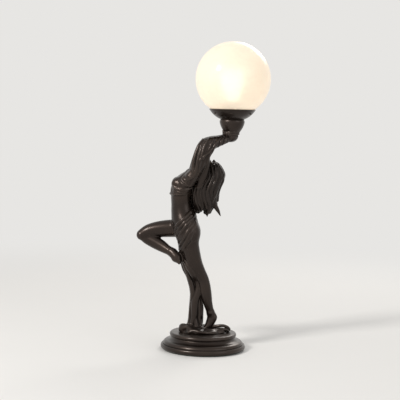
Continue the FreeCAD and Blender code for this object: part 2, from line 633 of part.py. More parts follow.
keep("torso", less("torso", torso_blank, torso_core, conduit_hole))
keep("head", less("head", head_blank, torso_blank))
keep("hands", less("hands", hands_blank, above_hands, conduit_hole))
keep("near_arm", less("near_arm", near_blank, torso_blank, hands_blank, far_side, above_hands))
keep("far_arm", less("far_arm", within("far_arm_half", far_blank, far_side), conduit_hole, torso_blank,
                     hands_blank, above_hands))
hair_core = stack("hair_core", "hair", 1, 4, inset=S.cast_wall)
keep("hair", less("hair", hair_blank, hair_core, head_blank, torso_blank, near_blank, far_blank))
raised_blank = joined("raised_leg_blank", [raised_thigh, raised_calf, raised_foot])
keep("raised_leg", less("raised_leg", raised_blank, torso_blank, conduit_hole))
keep("standing_leg", less("standing_leg", standing_blank, torso_blank, raised_blank, under_disc, conduit_hole))
above_hem = place(bind(doc.addObject("Part::Box", "above_hem"), Length=FAR, Width=FAR, Height=FAR),
                  S.hem_corner_x, -FAR / 2, S.disc_top + S.hem_corner_z, Rotation(Vector(0, 1, 0), -46))
drape_blank = stack("drape_blank", "drape")
keep("hip_drape", less("hip_drape", drape_blank, above_hem, torso_blank, raised_blank, standing_blank, conduit_hole))
column_blank = stack("column_blank", "column")
column_core = stack("column_core", "column", 1, 4, inset=S.cast_wall)
keep("drapery_column", less("drapery_column", column_blank, column_core, raised_blank, standing_blank,
                            conduit_hole))
puddle_blank = joined("puddle_blank", [lump("fold_" + n) for n in ("front", "side", "back", "end")])
keep("drapery_puddle", less("drapery_puddle", puddle_blank, under_disc, column_blank, standing_blank,
                            conduit_hole))

# ---------------------------------------------------------------- conduit and lead

keep("conduit_tube", pipe("conduit_tube", conduit_path, S.conduit_radius, S.conduit_bore))
lead_level = inner_ceiling - S.terminal_height * 0.6
lead_path = rounded([
    (S.terminal_x - S.lead_gap, -4.0, lead_level), (-5.0, -4.0, lead_level), (-9.0, 1.0, inner_ceiling - 13),
    (S.duct_0_x, S.duct_0_y, inner_ceiling - 18),
] + CONDUIT_ROUTE[1:-1] + [(S.lamp_axis, 0.0, S.holder_foot + 3)])
keep("internal_lead", pipe("internal_lead", lead_path, S.lead_radius))

# ---------------------------------------------------------------- knob, bowl and globe

axis = S.lamp_axis
inner = S.conduit_radius + S.running_clearance / 2
keep("knob_cup", turned("knob_cup", [
    (inner, S.hand_top), (S.knob_foot_radius - 1.5, S.hand_top),
    (S.knob_foot_radius, S.hand_top + S.knob_foot_step),
    (S.knob_radius, S.knob_level, S.knob_round),
    (S.bowl_foot_radius, S.bowl_floor, S.knob_shoulder_round),
    (S.bowl_foot_radius - S.knob_wall, S.bowl_floor),
    (S.knob_foot_radius - S.knob_wall, S.hand_top + S.knob_floor),
    (inner, S.hand_top + S.knob_floor),
], axis))
bowl_top = S.bowl_floor + S.bowl_wall
bowl = turned("bowl_blank", [
    (inner, S.bowl_floor), (S.bowl_foot_radius, S.bowl_floor),
    (S.bowl_rim_radius - S.rim_thickness * 0.6, S.bowl_rim_level - S.rim_band * 1.4, S.bowl_round),
    (S.bowl_rim_radius, S.bowl_rim_level - S.rim_band),
    (S.bowl_rim_radius, S.bowl_rim_level),
    (S.rim_inner, S.bowl_rim_level),
    (S.neck_radius + S.ledge_margin, S.ledge_level, -S.bowl_round),
    (S.neck_radius - S.well_inset, S.ledge_level),
    (S.bowl_foot_radius - S.knob_wall, bowl_top),
    (inner, bowl_top),
], axis, blown=True)
screw_holes = []
for number, angle in enumerate((90.0, 210.0, 330.0), 1):
    way = Vector(math.cos(math.radians(angle)), math.sin(math.radians(angle)), 0)
    turn = Rotation(Vector(0, 0, 1), way)
    reach = S.neck_radius + S.screw_gap
    spot = axis + reach * way.x, reach * way.y, S.ledge_level + S.gallery_screw_rise
    keep(f"gallery_screw_{number}", cylinder(f"gallery_screw_{number}", S.gallery_screw_radius,
                                             S.gallery_screw_length, *spot, turn))
    screw_holes.append(cylinder(f"screw_hole_{number}", S.gallery_screw_radius + S.running_clearance / 2,
                                S.gallery_screw_length * 2.5, *spot, turn))
keep("gallery_bowl", less("gallery_bowl", bowl, *screw_holes))
keep("bowl_nut", hexagon("bowl_nut", S.nut_across_flats, S.nut_height, axis, 0.0, bowl_top, S.conduit_radius))
keep("seat_ring", turned("seat_ring", [
    (S.neck_radius - S.seat_ring_width, S.ledge_level), (S.neck_radius, S.ledge_level),
    (S.neck_radius, S.ring_top), (S.neck_radius - S.seat_ring_width, S.ring_top),
], axis))

# One blown glass in three rings that meet in level joints: its neck, its shoulder and its ball.
glass_inner = S.globe_radius - S.glass_wall
neck_inner = S.neck_radius - S.glass_wall
shoulder_outer = across_sphere(S.globe_radius, S.globe_centre - S.shoulder_top)
shoulder_inner = across_sphere(glass_inner, S.globe_centre - S.shoulder_top)
keep("globe_neck", turned("globe_neck", [
    (neck_inner, S.ring_top), (S.neck_radius, S.ring_top),
    (S.neck_radius, S.neck_top), (neck_inner, S.neck_top),
], axis))
keep("globe_shoulder", turned("globe_shoulder", [
    (neck_inner, S.neck_top), (S.neck_radius, S.neck_top),
    (shoulder_outer, S.shoulder_top, S.globe_radius),
    (shoulder_inner, S.shoulder_top),
    (neck_inner, S.globe_centre - across_sphere(glass_inner, neck_inner), -glass_inner),
], axis, blown=True))
keep("globe", turned("globe", [
    (shoulder_inner, S.shoulder_top, -glass_inner), (shoulder_outer, S.shoulder_top),
    (S.globe_radius, S.globe_centre, S.globe_radius),
    (0.0, S.globe_centre + S.globe_radius, S.globe_radius),
    (0.0, S.globe_centre + glass_inner),
    (glass_inner, S.globe_centre, -glass_inner),
], axis, blown=True))

# ---------------------------------------------------------------- lamp holder and bulb

split = S.holder_foot + S.holder_split
socket_outer = S.socket_bore + S.socket_wall
holder_floor = S.socket_floor - S.contact_plate * 2
keep("lampholder_cap", turned("lampholder_cap", [
    (inner, S.holder_foot), (S.holder_radius - S.holder_foot_inset, S.holder_foot),
    (S.holder_radius, split - 3, S.holder_round), (S.holder_radius, split),
    (socket_outer, split), (socket_outer, holder_floor), (inner, holder_floor),
], axis))
keep("lampholder_contact", turned("lampholder_contact", [
    (0.0, S.socket_floor - S.contact_plate), (S.contact_radius, S.socket_floor - S.contact_plate),
    (S.contact_radius, S.socket_floor), (0.0, S.socket_floor),
], axis))
keep("lampholder_shell", turned("lampholder_shell", [
    (S.contact_radius, holder_floor), (socket_outer, holder_floor), (socket_outer, split), (S.holder_radius, split),
    (S.holder_radius, S.holder_top), (S.socket_bore, S.holder_top), (S.socket_bore, S.socket_floor - S.contact_hood),
    (S.contact_radius, S.socket_floor - S.contact_hood),
], axis))
cap_foot = S.socket_floor + S.contact_height
cap_inner = S.bulb_cap_radius - S.bulb_cap_wall
keep("bulb_contact", turned("bulb_contact", [
    (0.0, S.socket_floor), (S.contact_radius, S.socket_floor), (S.contact_radius + 1, cap_foot), (0.0, cap_foot),
], axis))
keep("bulb_cap", turned("bulb_cap", [
    (0.0, cap_foot), (S.contact_radius + 1, cap_foot), (S.bulb_cap_radius, cap_foot + S.bulb_cap_taper),
    (S.bulb_cap_radius, S.holder_top), (cap_inner, S.holder_top),
    (cap_inner, cap_foot + S.bulb_cap_taper + 0.5),
    (S.contact_radius, cap_foot + S.bulb_cap_wall), (0.0, cap_foot + S.bulb_cap_wall),
], axis))
bulb_inner = S.bulb_radius - S.bulb_wall
shoulder, shoulder_inner = S.bulb_radius * 0.8, bulb_inner * 0.8
keep("bulb_glass", turned("bulb_glass", [
    (S.bulb_neck_radius - S.bulb_wall, S.holder_top), (S.bulb_neck_radius, S.holder_top),
    (shoulder, S.bulb_centre - across_sphere(S.bulb_radius, shoulder)),
    (S.bulb_radius, S.bulb_centre, S.bulb_radius),
    (0.0, S.bulb_centre + S.bulb_radius, S.bulb_radius),
    (0.0, S.bulb_centre + bulb_inner),
    (bulb_inner, S.bulb_centre, -bulb_inner),
    (shoulder_inner, S.bulb_centre - across_sphere(bulb_inner, shoulder_inner), -bulb_inner),
], axis, blown=True))

# ---------------------------------------------------------------- write the pieces

doc.recompute()
faults = []
for thing in doc.Objects:
    if "Invalid" in thing.State or "Error" in thing.State:
        faults.append(f"{thing.Name} {thing.State}")
os.makedirs("parts", exist_ok=True)
for label, piece in PIECES.items():
    shape = piece.Shape
    if shape.isNull() or not shape.isValid() or not shape.Solids:
        faults.append(f"{label} has no valid solid")
        continue
    shape.exportStep(f"parts/{label}.step")
    print(f"{label}: {len(shape.Solids)} solid, {shape.Volume / 1000:.2f} cm3")
print("faults:", faults or "none")
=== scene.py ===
"""Looks of the figural table lamp: a bronze dancer who lifts a lit glass globe.

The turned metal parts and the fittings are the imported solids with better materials. The globe is lathed as one
piece. The figure and its cloth are sculpted here: each part is a distance field in millimetres, neighbouring
fields flow into each other, and every piece is the stretch of the common surface nearest to its own part.
"""

import math
from concurrent.futures import ThreadPoolExecutor

import bmesh
import bpy
import numpy as np
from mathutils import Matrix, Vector


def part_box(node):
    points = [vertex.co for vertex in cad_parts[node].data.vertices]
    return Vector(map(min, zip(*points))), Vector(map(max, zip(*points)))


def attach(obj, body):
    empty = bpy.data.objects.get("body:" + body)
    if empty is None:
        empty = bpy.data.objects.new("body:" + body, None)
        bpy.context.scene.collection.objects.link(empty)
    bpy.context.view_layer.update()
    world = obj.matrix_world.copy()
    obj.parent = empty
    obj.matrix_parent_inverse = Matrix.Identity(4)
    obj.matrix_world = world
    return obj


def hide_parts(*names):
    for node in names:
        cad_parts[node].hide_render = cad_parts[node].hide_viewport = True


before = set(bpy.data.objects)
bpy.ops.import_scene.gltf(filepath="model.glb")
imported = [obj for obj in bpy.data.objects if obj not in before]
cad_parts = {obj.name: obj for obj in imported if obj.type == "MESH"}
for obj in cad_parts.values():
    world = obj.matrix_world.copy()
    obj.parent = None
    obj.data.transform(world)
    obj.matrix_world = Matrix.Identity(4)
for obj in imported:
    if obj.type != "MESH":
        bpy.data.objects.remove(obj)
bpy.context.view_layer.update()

MM = 0.001
STAND = "stand"  # the body that everything fixed rides on
FINE, COARSE = ((0.85, 1.0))  # cell size of the sculpture, mm
CELLS = 16  # cells along one side of a block
FAR_AWAY = 1e3
AROUND_POINTS = 8  # mm around a batch of points within which a shape can still matter
THINNEST = 0.2  # least half size of a sweep, mm
CLOSE_TO_ZERO, CLOSER_TO_ZERO = 1e-6, 1e-9  # keep divisions away from zero

# ---------------------------------------------------------------- distance fields (millimetres)


def unit(vector):
    vector = np.asarray(vector, float)
    return vector / np.linalg.norm(vector)


def box_around(points):
    return points.min(0) - AROUND_POINTS, points.max(0) + AROUND_POINTS


def meets(box, low, high):
    return np.all(box[0] < high) and np.all(box[1] > low)


def smooth_least(a, b, reach):
    """The lesser of two distances, rounded where they differ by less than reach."""
    if reach <= 0:
        return np.minimum(a, b)
    share = np.maximum(reach - np.abs(a - b), 0.0) / reach
    return np.minimum(a, b) - share * share * reach / 4


def curve_through(points, count):
    """count points on a smooth curve through the given rows (positions or sizes), evenly spaced by row."""
    points = np.asarray(points, float)
    padded = np.vstack([2 * points[0] - points[1], points, 2 * points[-1] - points[-2]])
    along = np.linspace(0, len(points) - 1, count)
    index = np.minimum(along.astype(int), len(points) - 2)
    t = (along - index)[:, None]
    a, b, c, d = (padded[index + i] for i in range(4))
    square, cube = 2 * a - 5 * b + 4 * c - d, 3 * b - a - 3 * c + d
    return 0.5 * (2 * b + (c - a) * t + square * t ** 2 + cube * t ** 3)


class Sweep:
    """A limb, lock or fold: an oval that runs along a curve.

    Each station is (x, y, z, half depth, half width). Width is measured along side, depth across it.
    relief takes (angle about the curve, share of the way) and gives how far the surface stands out.
    """

    def __init__(self, stations, side=(0, 1, 0), relief=None, count=None):
        stations = [tuple(s) + (s[3],) * (5 - len(s)) for s in stations]
        rows = curve_through(stations, count or max(6 * len(stations), 12))
        self.centres = rows[:, :3]
        self.depth, self.width = np.maximum(rows[:, 3], THINNEST), np.maximum(rows[:, 4], THINNEST)
        ways = np.gradient(self.centres, axis=0)
        self.ways = ways / np.linalg.norm(ways, axis=1)[:, None]
        across = np.asarray(side, float) - self.ways * (self.ways @ np.asarray(side, float))[:, None]
        self.across = across / (np.linalg.norm(across, axis=1)[:, None] + CLOSER_TO_ZERO)
        self.forward = np.cross(self.across, self.ways)
        self.steps = np.linalg.norm(np.gradient(self.centres, axis=0), axis=1)
        self.relief = relief
        self.plain = relief is None and np.array_equal(self.depth, self.width)
        reach = float(max(self.depth.max(), self.width.max())) + 4
        self.box = self.centres.min(0) - reach, self.centres.max(0) + reach

    def nearest(self, points):
        """Each point's place along the curve in rows, the row before it and the share beyond that row."""
        centres = self.centres.astype(np.float32)
        near = (points @ centres.T) * -2 + (centres ** 2).sum(1)[None]
        index = near.argmin(1)
        offset = points - self.centres[index]
        ahead = (offset * self.ways[index]).sum(1)
        last = len(self.centres) - 1
        place = np.clip(index + ahead / self.steps[index], 0, last)
        low = np.minimum(place.astype(int), last - 1)
        return place, low, (place - low)[:, None]

    def at(self, points):
        place, low, share = self.nearest(points)

        def between(rows):
            rows = rows if rows.ndim == 2 else rows[:, None]
            return rows[low] * (1 - share) + rows[low + 1] * share

        offset = points - between(self.centres)
        if self.plain:
            return np.linalg.norm(offset, axis=1) - between(self.depth)[:, 0]
        way = between(self.ways)
        depth, width = between(self.depth)[:, 0], between(self.width)[:, 0]
        u = (offset * between(self.forward)).sum(1)
        v = (offset * between(self.across)).sum(1)
        end = (offset * way).sum(1)
        end_size = np.minimum(depth, width)
        near_one = np.sqrt((u / depth) ** 2 + (v / width) ** 2 + (end / end_size) ** 2) + CLOSE_TO_ZERO
        squares = (u / depth ** 2) ** 2 + (v / width ** 2) ** 2 + (end / end_size ** 2) ** 2
        slope = np.sqrt(squares) + CLOSE_TO_ZERO
        distance = near_one * (near_one - 1) / slope
        if self.relief:
            angle = np.arctan2(v / width, u / depth)
            distance = distance - self.relief(angle, place / (len(self.centres) - 1))
        return distance


class Blob:
    """An ellipsoid with half sizes along three axes: along, side and the axis across both."""

    def __init__(self, centre, sizes, along=(1, 0, 0), side=(0, 1, 0)):
        first = unit(along)
        second = unit(np.asarray(side, float) - first * np.dot(side, first))
        self.axes = np.array([first, second, np.cross(first, second)])
        self.centre, self.sizes = np.asarray(centre, float), np.asarray(sizes, float)
        reach = float(self.sizes.max()) + 3
        self.box = self.centre - reach, self.centre + reach

    def at(self, points):
        local = (points - self.centre) @ self.axes.T
        near_one = np.linalg.norm(local / self.sizes, axis=1) + CLOSE_TO_ZERO
        slope = np.linalg.norm(local / self.sizes ** 2, axis=1) + CLOSE_TO_ZERO
        return near_one * (near_one - 1) / slope


class Part:
    """Shapes that flow into each other, then hollows carved out of them, then a trim by half spaces."""

    def __init__(self, shapes, blend=3.0, hollows=(), hollow_blend=1.5, trims=()):
        self.shapes, self.blend = shapes, blend
        self.hollows, self.hollow_blend, self.trims = hollows, hollow_blend, trims
        self.box = (np.min([s.box[0] for s in shapes], axis=0), np.max([s.box[1] for s in shapes], axis=0))

    def at(self, points):
        low, high = box_around(points)
        distance = np.full(len(points), FAR_AWAY)
        for shape in self.shapes:
            if meets(shape.box, low, high):
                distance = smooth_least(distance, shape.at(points), self.blend)
        for hollow in self.hollows:
            if meets(hollow.box, low, high):
                distance = -smooth_least(-distance, hollow.at(points), self.hollow_blend)
        for origin, outward in self.trims:
            distance = np.maximum(distance, (points - np.asarray(origin, float)) @ unit(outward))
        return distance


def figure_fields(parts, name, points):
    """The whole figure's distance as the named part sees it, and the same where that part is nearest."""
    low, high = box_around(points)
    total, own, others = np.full(len(points), FAR_AWAY), None, np.full(len(points), FAR_AWAY)
    for other, (part, family) in parts.items():
        if not meets(part.box, low, high):
            continue
        distance = part.at(points)
        if other == name:
            own = distance
        else:
            others = np.minimum(others, distance)
        total = smooth_least(total, distance, FLOW[family, parts[name][1]])
    if own is None:
        return total, np.full(len(points), FAR_AWAY)
    return total, np.maximum(total, 0.5 * (own - others))


# ---------------------------------------------------------------- fields to meshes


def sampled(fields, low, high, step):
    """Two fields' values on a grid, worked out only in the blocks that the second one's surface may cross."""
    counts = np.ceil((high - low) / step / CELLS).astype(int)
    total = np.full(counts * CELLS + 1, FAR_AWAY, np.float32)
    own = total.copy()
    blocks = np.stack(np.meshgrid(*[np.arange(c) for c in counts], indexing="ij"), -1).reshape(-1, 3)
    local = np.stack(np.meshgrid(*[np.arange(CELLS + 1)] * 3, indexing="ij"), -1).reshape(-1, 3)
    probes = np.stack(np.meshgrid(*[np.array([0, 0.5, 1]) * CELLS] * 3, indexing="ij"), -1).reshape(-1, 3)
    reach = 0.45 * CELLS * step + 3.5

    def fill(block):
        corner = block * CELLS
        if np.abs(fields(low + (corner + probes) * step)[1]).min() > reach:
            return
        spans = tuple(slice(c, c + CELLS + 1) for c in corner)
        found = fields(low + (corner + local) * step)
        total[spans], own[spans] = (f.reshape([CELLS + 1] * 3) for f in found)

    with ThreadPoolExecutor(4) as pool:
        list(pool.map(fill, blocks))
    return total, own


def cell_vertices(values, places):
    """In each of the given cells, the mean of the points where its edges cross the zero surface."""
    total, hits = np.zeros((len(places), 3)), np.zeros(len(places))
    offsets = np.array(list(np.ndindex(2, 2, 2)))
    for i, first in enumerate(offsets):
        for second in offsets[i + 1:]:
            if np.abs(first - second).sum() != 1:
                continue
            a = values[tuple((places + first).T)]
            b = values[tuple((places + second).T)]
            cross = (a < 0) != (b < 0)
            share = np.where(cross, a / np.where(cross, a - b, 1), 0)[:, None]
            total += np.where(cross[:, None], first + (second - first) * share, 0)
            hits += cross
    return places + total / hits[:, None]


def cell_quads(inside, number):
    """A quad of vertex numbers around each grid edge that the surface crosses, turned outwards."""
    cells = number.shape
    quads = []
    for axis in range(3):
        one, two = [a for a in range(3) if a != axis]
        edges = np.argwhere(inside != np.roll(inside, -1, axis))
        keep = (edges[:, axis] < inside.shape[axis] - 1) & (edges[:, one] > 0) & (edges[:, two] > 0)
        keep &= (edges[:, one] < cells[one]) & (edges[:, two] < cells[two])
        edges = edges[keep]
        step_one, step_two = np.eye(3, dtype=int)[one], np.eye(3, dtype=int)[two]
        ring = [edges, edges - step_one, edges - step_one - step_two, edges - step_two]
        quad = np.stack([number[tuple(r.T)] for r in ring], 1)
        outward = inside[tuple(edges.T)] == (axis != 1)
        quads.append(np.where(outward[:, None], quad, quad[:, ::-1]))
    return np.vstack(quads)


def surface_net(values, low, step):
    """Vertices and quads of the zero surface: one vertex in each cell that it crosses."""
    inside = values < 0
    cells = tuple(n - 1 for n in values.shape)
    corners = [tuple(slice(o, o + n) for o, n in zip(offset, cells)) for offset in np.ndindex(2, 2, 2)]
    count = sum(inside[c].astype(np.int8) for c in corners)
    places = np.argwhere((count > 0) & (count < 8))
    number = np.full(cells, -1, np.int64)
    number[tuple(places.T)] = np.arange(len(places))
    return low + cell_vertices(values, places) * step, cell_quads(inside, number), places


def slopes(values, places):
    """The direction in which the values grow, in each of the given cells."""
    ways = np.zeros((len(places), 3))
    for offset in np.ndindex(2, 2, 2):
        corner = values[tuple((places + offset).T)].astype(float)
        ways += corner[:, None] * (np.array(offset) * 2 - 1)
    return ways / np.maximum(np.linalg.norm(ways, axis=1)[:, None], CLOSER_TO_ZERO)


def sculpted(parts, name, step):
    """One piece of the figure as a mesh object, in metres, shaded by the whole figure's field."""
    low, high = parts[name][0].box
    low = low - 1.5 * step
    total, own = sampled(lambda p: figure_fields(parts, name, p), low, high + 1.5 * step, step)
    vertices, quads, places = surface_net(own, low, step)
    outside = slopes(total, places)
    depth = total[tuple(places.T)][:, None]
    normals = np.where(depth > -1.2 * step, outside, slopes(own, places))
    mesh = bpy.data.meshes.new(name)
    mesh.from_pydata((vertices * MM).tolist(), [], quads.tolist())
    mesh.update()
    mesh.shade_smooth()
    mesh.normals_split_custom_set_from_vertices(normals.tolist())
    piece = bpy.data.objects.new(name, mesh)
    bpy.context.scene.collection.objects.link(piece)
    return piece


# ---------------------------------------------------------------- the figure

FLOW = {("skin", "skin"): 7.0, ("cloth", "cloth"): 4.0, ("skin", "cloth"): 1.0, ("cloth", "skin"): 1.0,
        ("skin", "hair"): 1.0, ("hair", "skin"): 1.0, ("cloth", "hair"): 1.0, ("hair", "cloth"): 1.0,
        ("hair", "hair"): 1.0}
NEAR, FAR, FRONT, BACK = (0, -1, 0), (0, 1, 0), (-1, 0, 0), (1, 0, 0)
RAY_START, RAY_END, RAY_STEP = 70.0, -40.0, -0.5  # mm along a ray that looks for a part's surface
RAY_MISS = 2  # a ray that stays farther than this from the part finds nothing
FOLD_GROWTH = 1.15  # folds are this much thicker than their tables say
HIP_FOLD_GROWTH = 1.2
COLUMN_FOOT, PUDDLE_FOOT = 36.2, 36.1  # the levels at which cloth and foot end on the base
DOWN = (0, 0, -1)


def ridges(angle, count, shift=0.0):
    """Folds around a curve: narrow crests with wide hollows between them, from 0 to 1."""
    return 1 - np.abs(np.sin((angle * count + shift) / 2))


def laid_on(part, path, way, sink):
    """Stations sunk into a part's surface: (x, y, z, size) rows moved along way to the part, or left out."""
    way = np.asarray(way, float)
    steps = np.arange(RAY_START, RAY_END, RAY_STEP)[:, None]
    stations = []
    for x, y, z, size in path:
        ray = np.array([x, y, z]) * (1 - np.abs(way)) + steps * way
        distance = part.at(ray)
        if distance.min() > RAY_MISS:
            continue
        hit = np.argmax(distance < 0) if distance.min() < 0 else distance.argmin()
        stations.append((*(ray[hit] - way * sink * size), size))
    return stations


def crease(part, points, size, way=NEAR, sink=0.45, ends=0.35):
    """A raised fold on a part through the given (across, up) points, thinner towards its ends."""
    path = []
    for i, (across, up) in enumerate(points):
        swell = ends + (1 - ends) * math.sin(math.pi * (i + 0.5) / len(points))
        path.append((across, across, up, size * swell))
    return Sweep(laid_on(part, path, way, sink), side=way)


def torso_body():
    navel = Blob((-75.5, 0, 284), (3, 2.2, 3.4))
    spine = Sweep([(-29, 0, 352, 2), (-30, 0, 330, 2.5), (-29, 0, 308, 2.5), (-22, 0, 288, 2)])
    return Part([
        Sweep([(-34, 0, 214, 14, 24), (-37, 0, 236, 24, 36), (-40, 0, 255, 26.5, 38.5), (-46, 0, 274, 27, 35),
               (-50, 0, 291, 24, 28.5), (-52, 0, 307, 22, 26), (-53, 0, 326, 22, 29.5), (-50, 0, 344, 21, 33),
               (-42, 0, 359, 17, 34), (-35, 0, 371, 10, 29)]),
        Blob((-29, -16, 246), (18, 18, 21)), Blob((-29, 16, 246), (18, 18, 21)),
        Blob((-34, -33, 366), (11, 12, 12)), Blob((-34, 33, 366), (11, 12, 12)),
    ], blend=9, hollows=[navel, spine], hollow_blend=3)


def bodice():
    def pleats(angle, along):
        return 0.9 + 1.0 * ridges(angle, 11, 7 * along + 2 * np.sin(3 * angle))

    return Part([
        Sweep([(-53, 0, 325, 22.5, 30.5), (-52, 0, 337, 22.5, 33), (-47, 0, 349, 20.5, 34.5),
               (-40, 0, 361, 16.5, 35), (-35, 0, 370, 11, 32)], relief=pleats),
        Blob((-60, -15, 349.5), (14.5, 14, 14)), Blob((-60, 15, 349.5), (14.5, 14, 14)),
    ], blend=4, trims=[((-76, 0, 327.5), DOWN)])


def bodice_hem():
    turn = np.linspace(0, 2 * math.pi, 25)
    x, y = -53 + 23.2 * np.cos(turn), 30.6 * np.sin(turn)
    rise = 18 * np.clip((x + 55) / 26, 0, 1) ** 1.5
    return Sweep([(a, b * 1.03, 328 + c, 2.5) for a, b, c in zip(x, y, rise)], count=120)


# Folds of the bodice seen from the side: (x, z) along each fold, and its thickness.
BODICE_FOLDS = (
    ([(-50, 364), (-44, 358), (-36, 355), (-27, 356), (-20, 362), (-15, 371)], 3.4),
    ([(-58, 357), (-50, 351), (-40, 347.5), (-29, 348.5), (-20, 355), (-14, 365)], 3.6),
    ([(-64, 341), (-54, 338.5), (-43, 338.5), (-32, 342), (-22, 349), (-15, 359)], 3.0),
    ([(-70, 334), (-60, 333), (-48, 333), (-36, 337)], 1.8),
    ([(-46, 368), (-41, 361), (-34, 360), (-27, 364), (-23, 371)], 2.4),
    ([(-70, 346), (-62, 339), (-52, 335.5)], 1.6),
)


def torso():
    top = bodice()
    folds = [crease(top, points, FOLD_GROWTH * size, way, 0.35)
             for way in (NEAR, FAR) for points, size in BODICE_FOLDS]
    return Part([Part([torso_body(), top], blend=0.6), Part(folds + [bodice_hem()], blend=1.5)], blend=2.0)


HEAD = np.array([13.0, 0.0, 378.5])
CROWN = unit((0.93, 0, -0.37))  # from the chin to the crown: the head is thrown back
FACE = np.array([-CROWN[2], 0, CROWN[0]])  # the way the face looks


def on_head(up, out, side=0.0):
    """A point given along the head's own axes, in millimetres from its middle."""
    return HEAD + CROWN * up + FACE * out + np.array([0, side, 0])


def head():
    def lump(up, out, side, sizes):
        return Blob(on_head(up, out, side), sizes, along=CROWN)

    pairs = (-1, 1)
    mass = Part([
        lump(6, -2, 0, (18, 16.5, 17.5)), lump(-8, 4, 0, (15.5, 12.5, 12.5)),
        lump(-19.5, 10.5, 0, (4.5, 5.5, 4.5)),
        Sweep([(-38, 0, 362, 10, 12), (-28, 0, 371, 10, 10.5), (-13, 0, 379, 10, 10), (0, 0, 380, 11, 10.5)]),
    ] + [lump(-6, 9.5, 7.5 * s, (6, 5, 4.5)) for s in pairs], blend=6,
        hollows=[lump(1.2, 17.2, 6.6 * s, (2.9, 4.2, 3.0)) for s in pairs], hollow_blend=3)
    brow = [tuple(on_head(5.2 - 0.03 * y * y, 14.2 - 0.035 * y * y, y)) + (1.9,)
            for y in (-11, -7, -3, 0, 3, 7, 11)]
    features = [
        Sweep(brow),
        Sweep([tuple(on_head(4, 14.5)) + (1.8,), tuple(on_head(-2, 17.8)) + (1.9,),
               tuple(on_head(-6.6, 20)) + (2.3,)]),
        lump(-12.9, 16.2, 0, (1.3, 4.6, 1.8)), lump(-15.2, 15.8, 0, (1.5, 3.9, 1.8)),
    ] + [lump(-7, 17.3, 2.4 * s, (1.9, 1.7, 1.9)) for s in pairs]
    features += [lump(1.0, 12.6, 6.6 * s, (2.9, 3.9, 3.0)) for s in pairs]
    return Part([mass] + features, blend=2.2)


# Locks of hair seen from the side, from the brow down: (x, z), and each one's thickness.
LOCKS = (
    ([(24, 391), (32, 377), (34, 360), (27.5, 344), (22.5, 329), (24, 314), (28, 300), (31, 284)], 4.2),
    ([(19, 393), (27, 378), (26, 360), (19, 342), (16, 325), (20, 309), (26, 297), (30.5, 285)], 4.6),
    ([(14, 391), (21, 374), (17, 356), (10, 340), (9, 322), (14, 306), (22, 295)], 4.4),
    ([(10, 386), (13, 369), (8, 352), (2, 336), (4, 318), (8, 303), (5, 291), (2.5, 281)], 4.8),
    ([(4, 380), (5, 364), (-3, 348), (-6, 331), (-2, 315), (1, 300), (2, 283)], 4.4),
    ([(-2, 375), (-5, 358), (-11, 342), (-12, 325), (-8, 309), (-4, 297), (-2, 287)], 4.2),
    ([(-8, 370), (-13, 353), (-18, 337), (-17, 320), (-13, 305), (-10, 293)], 4.2),
    ([(-13, 364), (-19, 347), (-23, 331), (-21, 314), (-17, 302), (-14, 293)], 4.0),
    ([(-19, 354), (-24, 339), (-26, 322), (-23, 307), (-19, 296)], 3.6),
)
FINE_LOCKS = (
    ([(28, 386), (31, 368), (27, 350), (21, 334), (20, 318), (24, 304)], 1.9),
    ([(18, 384), (21, 364), (13, 346), (12, 330), (16, 314)], 1.8),
    ([(8, 376), (9, 358), (3, 342), (1, 326), (4, 310), (5, 296)], 1.8),
    ([(0, 370), (-2, 352), (-8, 336), (-7, 320), (-3, 306)], 1.7),
    ([(-9, 362), (-15, 345), (-17, 329), (-13, 313), (-9, 300)], 1.7),
)


def hair_mass():
    def combed(angle, along):
        return 0.8 * np.cos(13 * angle + 2.5 * np.sin(7 * along)) + 0.4 * np.cos(29 * angle - 5 * along)

    cap = Part([Blob(on_head(8, -4.5), (19.5, 19, 18.5), along=CROWN)],
               hollows=[Blob(on_head(-12, 12), (22, 16, 17), along=CROWN)])
    mass = Sweep([(18, 0, 384, 12, 17), (16, 0, 368, 16.5, 21.5), (8, 0, 350, 22, 24.5),
                  (1, 0, 331, 21.5, 25), (2, 0, 314, 19, 22), (3, 0, 302, 14, 17), (4, 0, 294, 8, 11)],
                 relief=combed)
    inner = Sweep([(-4, 0, 376, 10, 19), (-11, 0, 360, 15, 22), (-15, 0, 340, 17, 23.5),
                   (-16, 0, 320, 17, 22.5), (-17, 0, 304, 13, 18), (-18, 0, 295, 8, 12)], relief=combed)
    return Part([cap, mass, inner], blend=6)


def hair_strands(whole):
    strands = []
    for way in (NEAR, FAR):
        lean = 0 if way is NEAR else 1.6
        for group, sink in ((LOCKS, 0.3), (FINE_LOCKS, -0.6)):
            for count, (points, size) in enumerate(group):
                moved = [(x + lean * math.sin(2 * i + count), z + lean) for i, (x, z) in enumerate(points)]
                strands.append(crease(whole, moved, size, way, sink))
    for count in range(7):
        y = -15 + 5 * count
        points = [(y * 0.7, 388), (y + 1.5 * math.sin(count), 370), (y * 1.1, 352), (y * 1.1 + 2, 334),
                  (y * 1.0 - 2, 318), (y * 0.7 + 1.5, 303), (y * 0.35, 286 + 2.5 * abs(3 - count))]
        strands.append(crease(whole, points, 3.8, BACK, 0.45))
    return strands


def hair_tips():
    tips = [Sweep([(14, y, 316, 6), (20, y, 303, 5), (26, y * 0.9, 293, 3.4), (31, y * 0.8, 283, 0.8)])
            for y in (-9, 3)]
    tips += [Sweep([(3, y, 312, 6.5), (5, y, 301, 5), (4, y * 0.9, 291, 3.2), (2.5, y * 0.8, 281, 0.8)])
             for y in (-12, 8)]
    return tips + [Sweep([(-9, y, 312, 6), (-9, y, 301, 4.5), (-10, y, 292, 1.2)]) for y in (-14, -2, 12)]


def hair():
    whole = hair_mass()
    return Part([Part([whole] + hair_strands(whole), blend=1.3), Part(hair_tips(), blend=2)], blend=2.5)


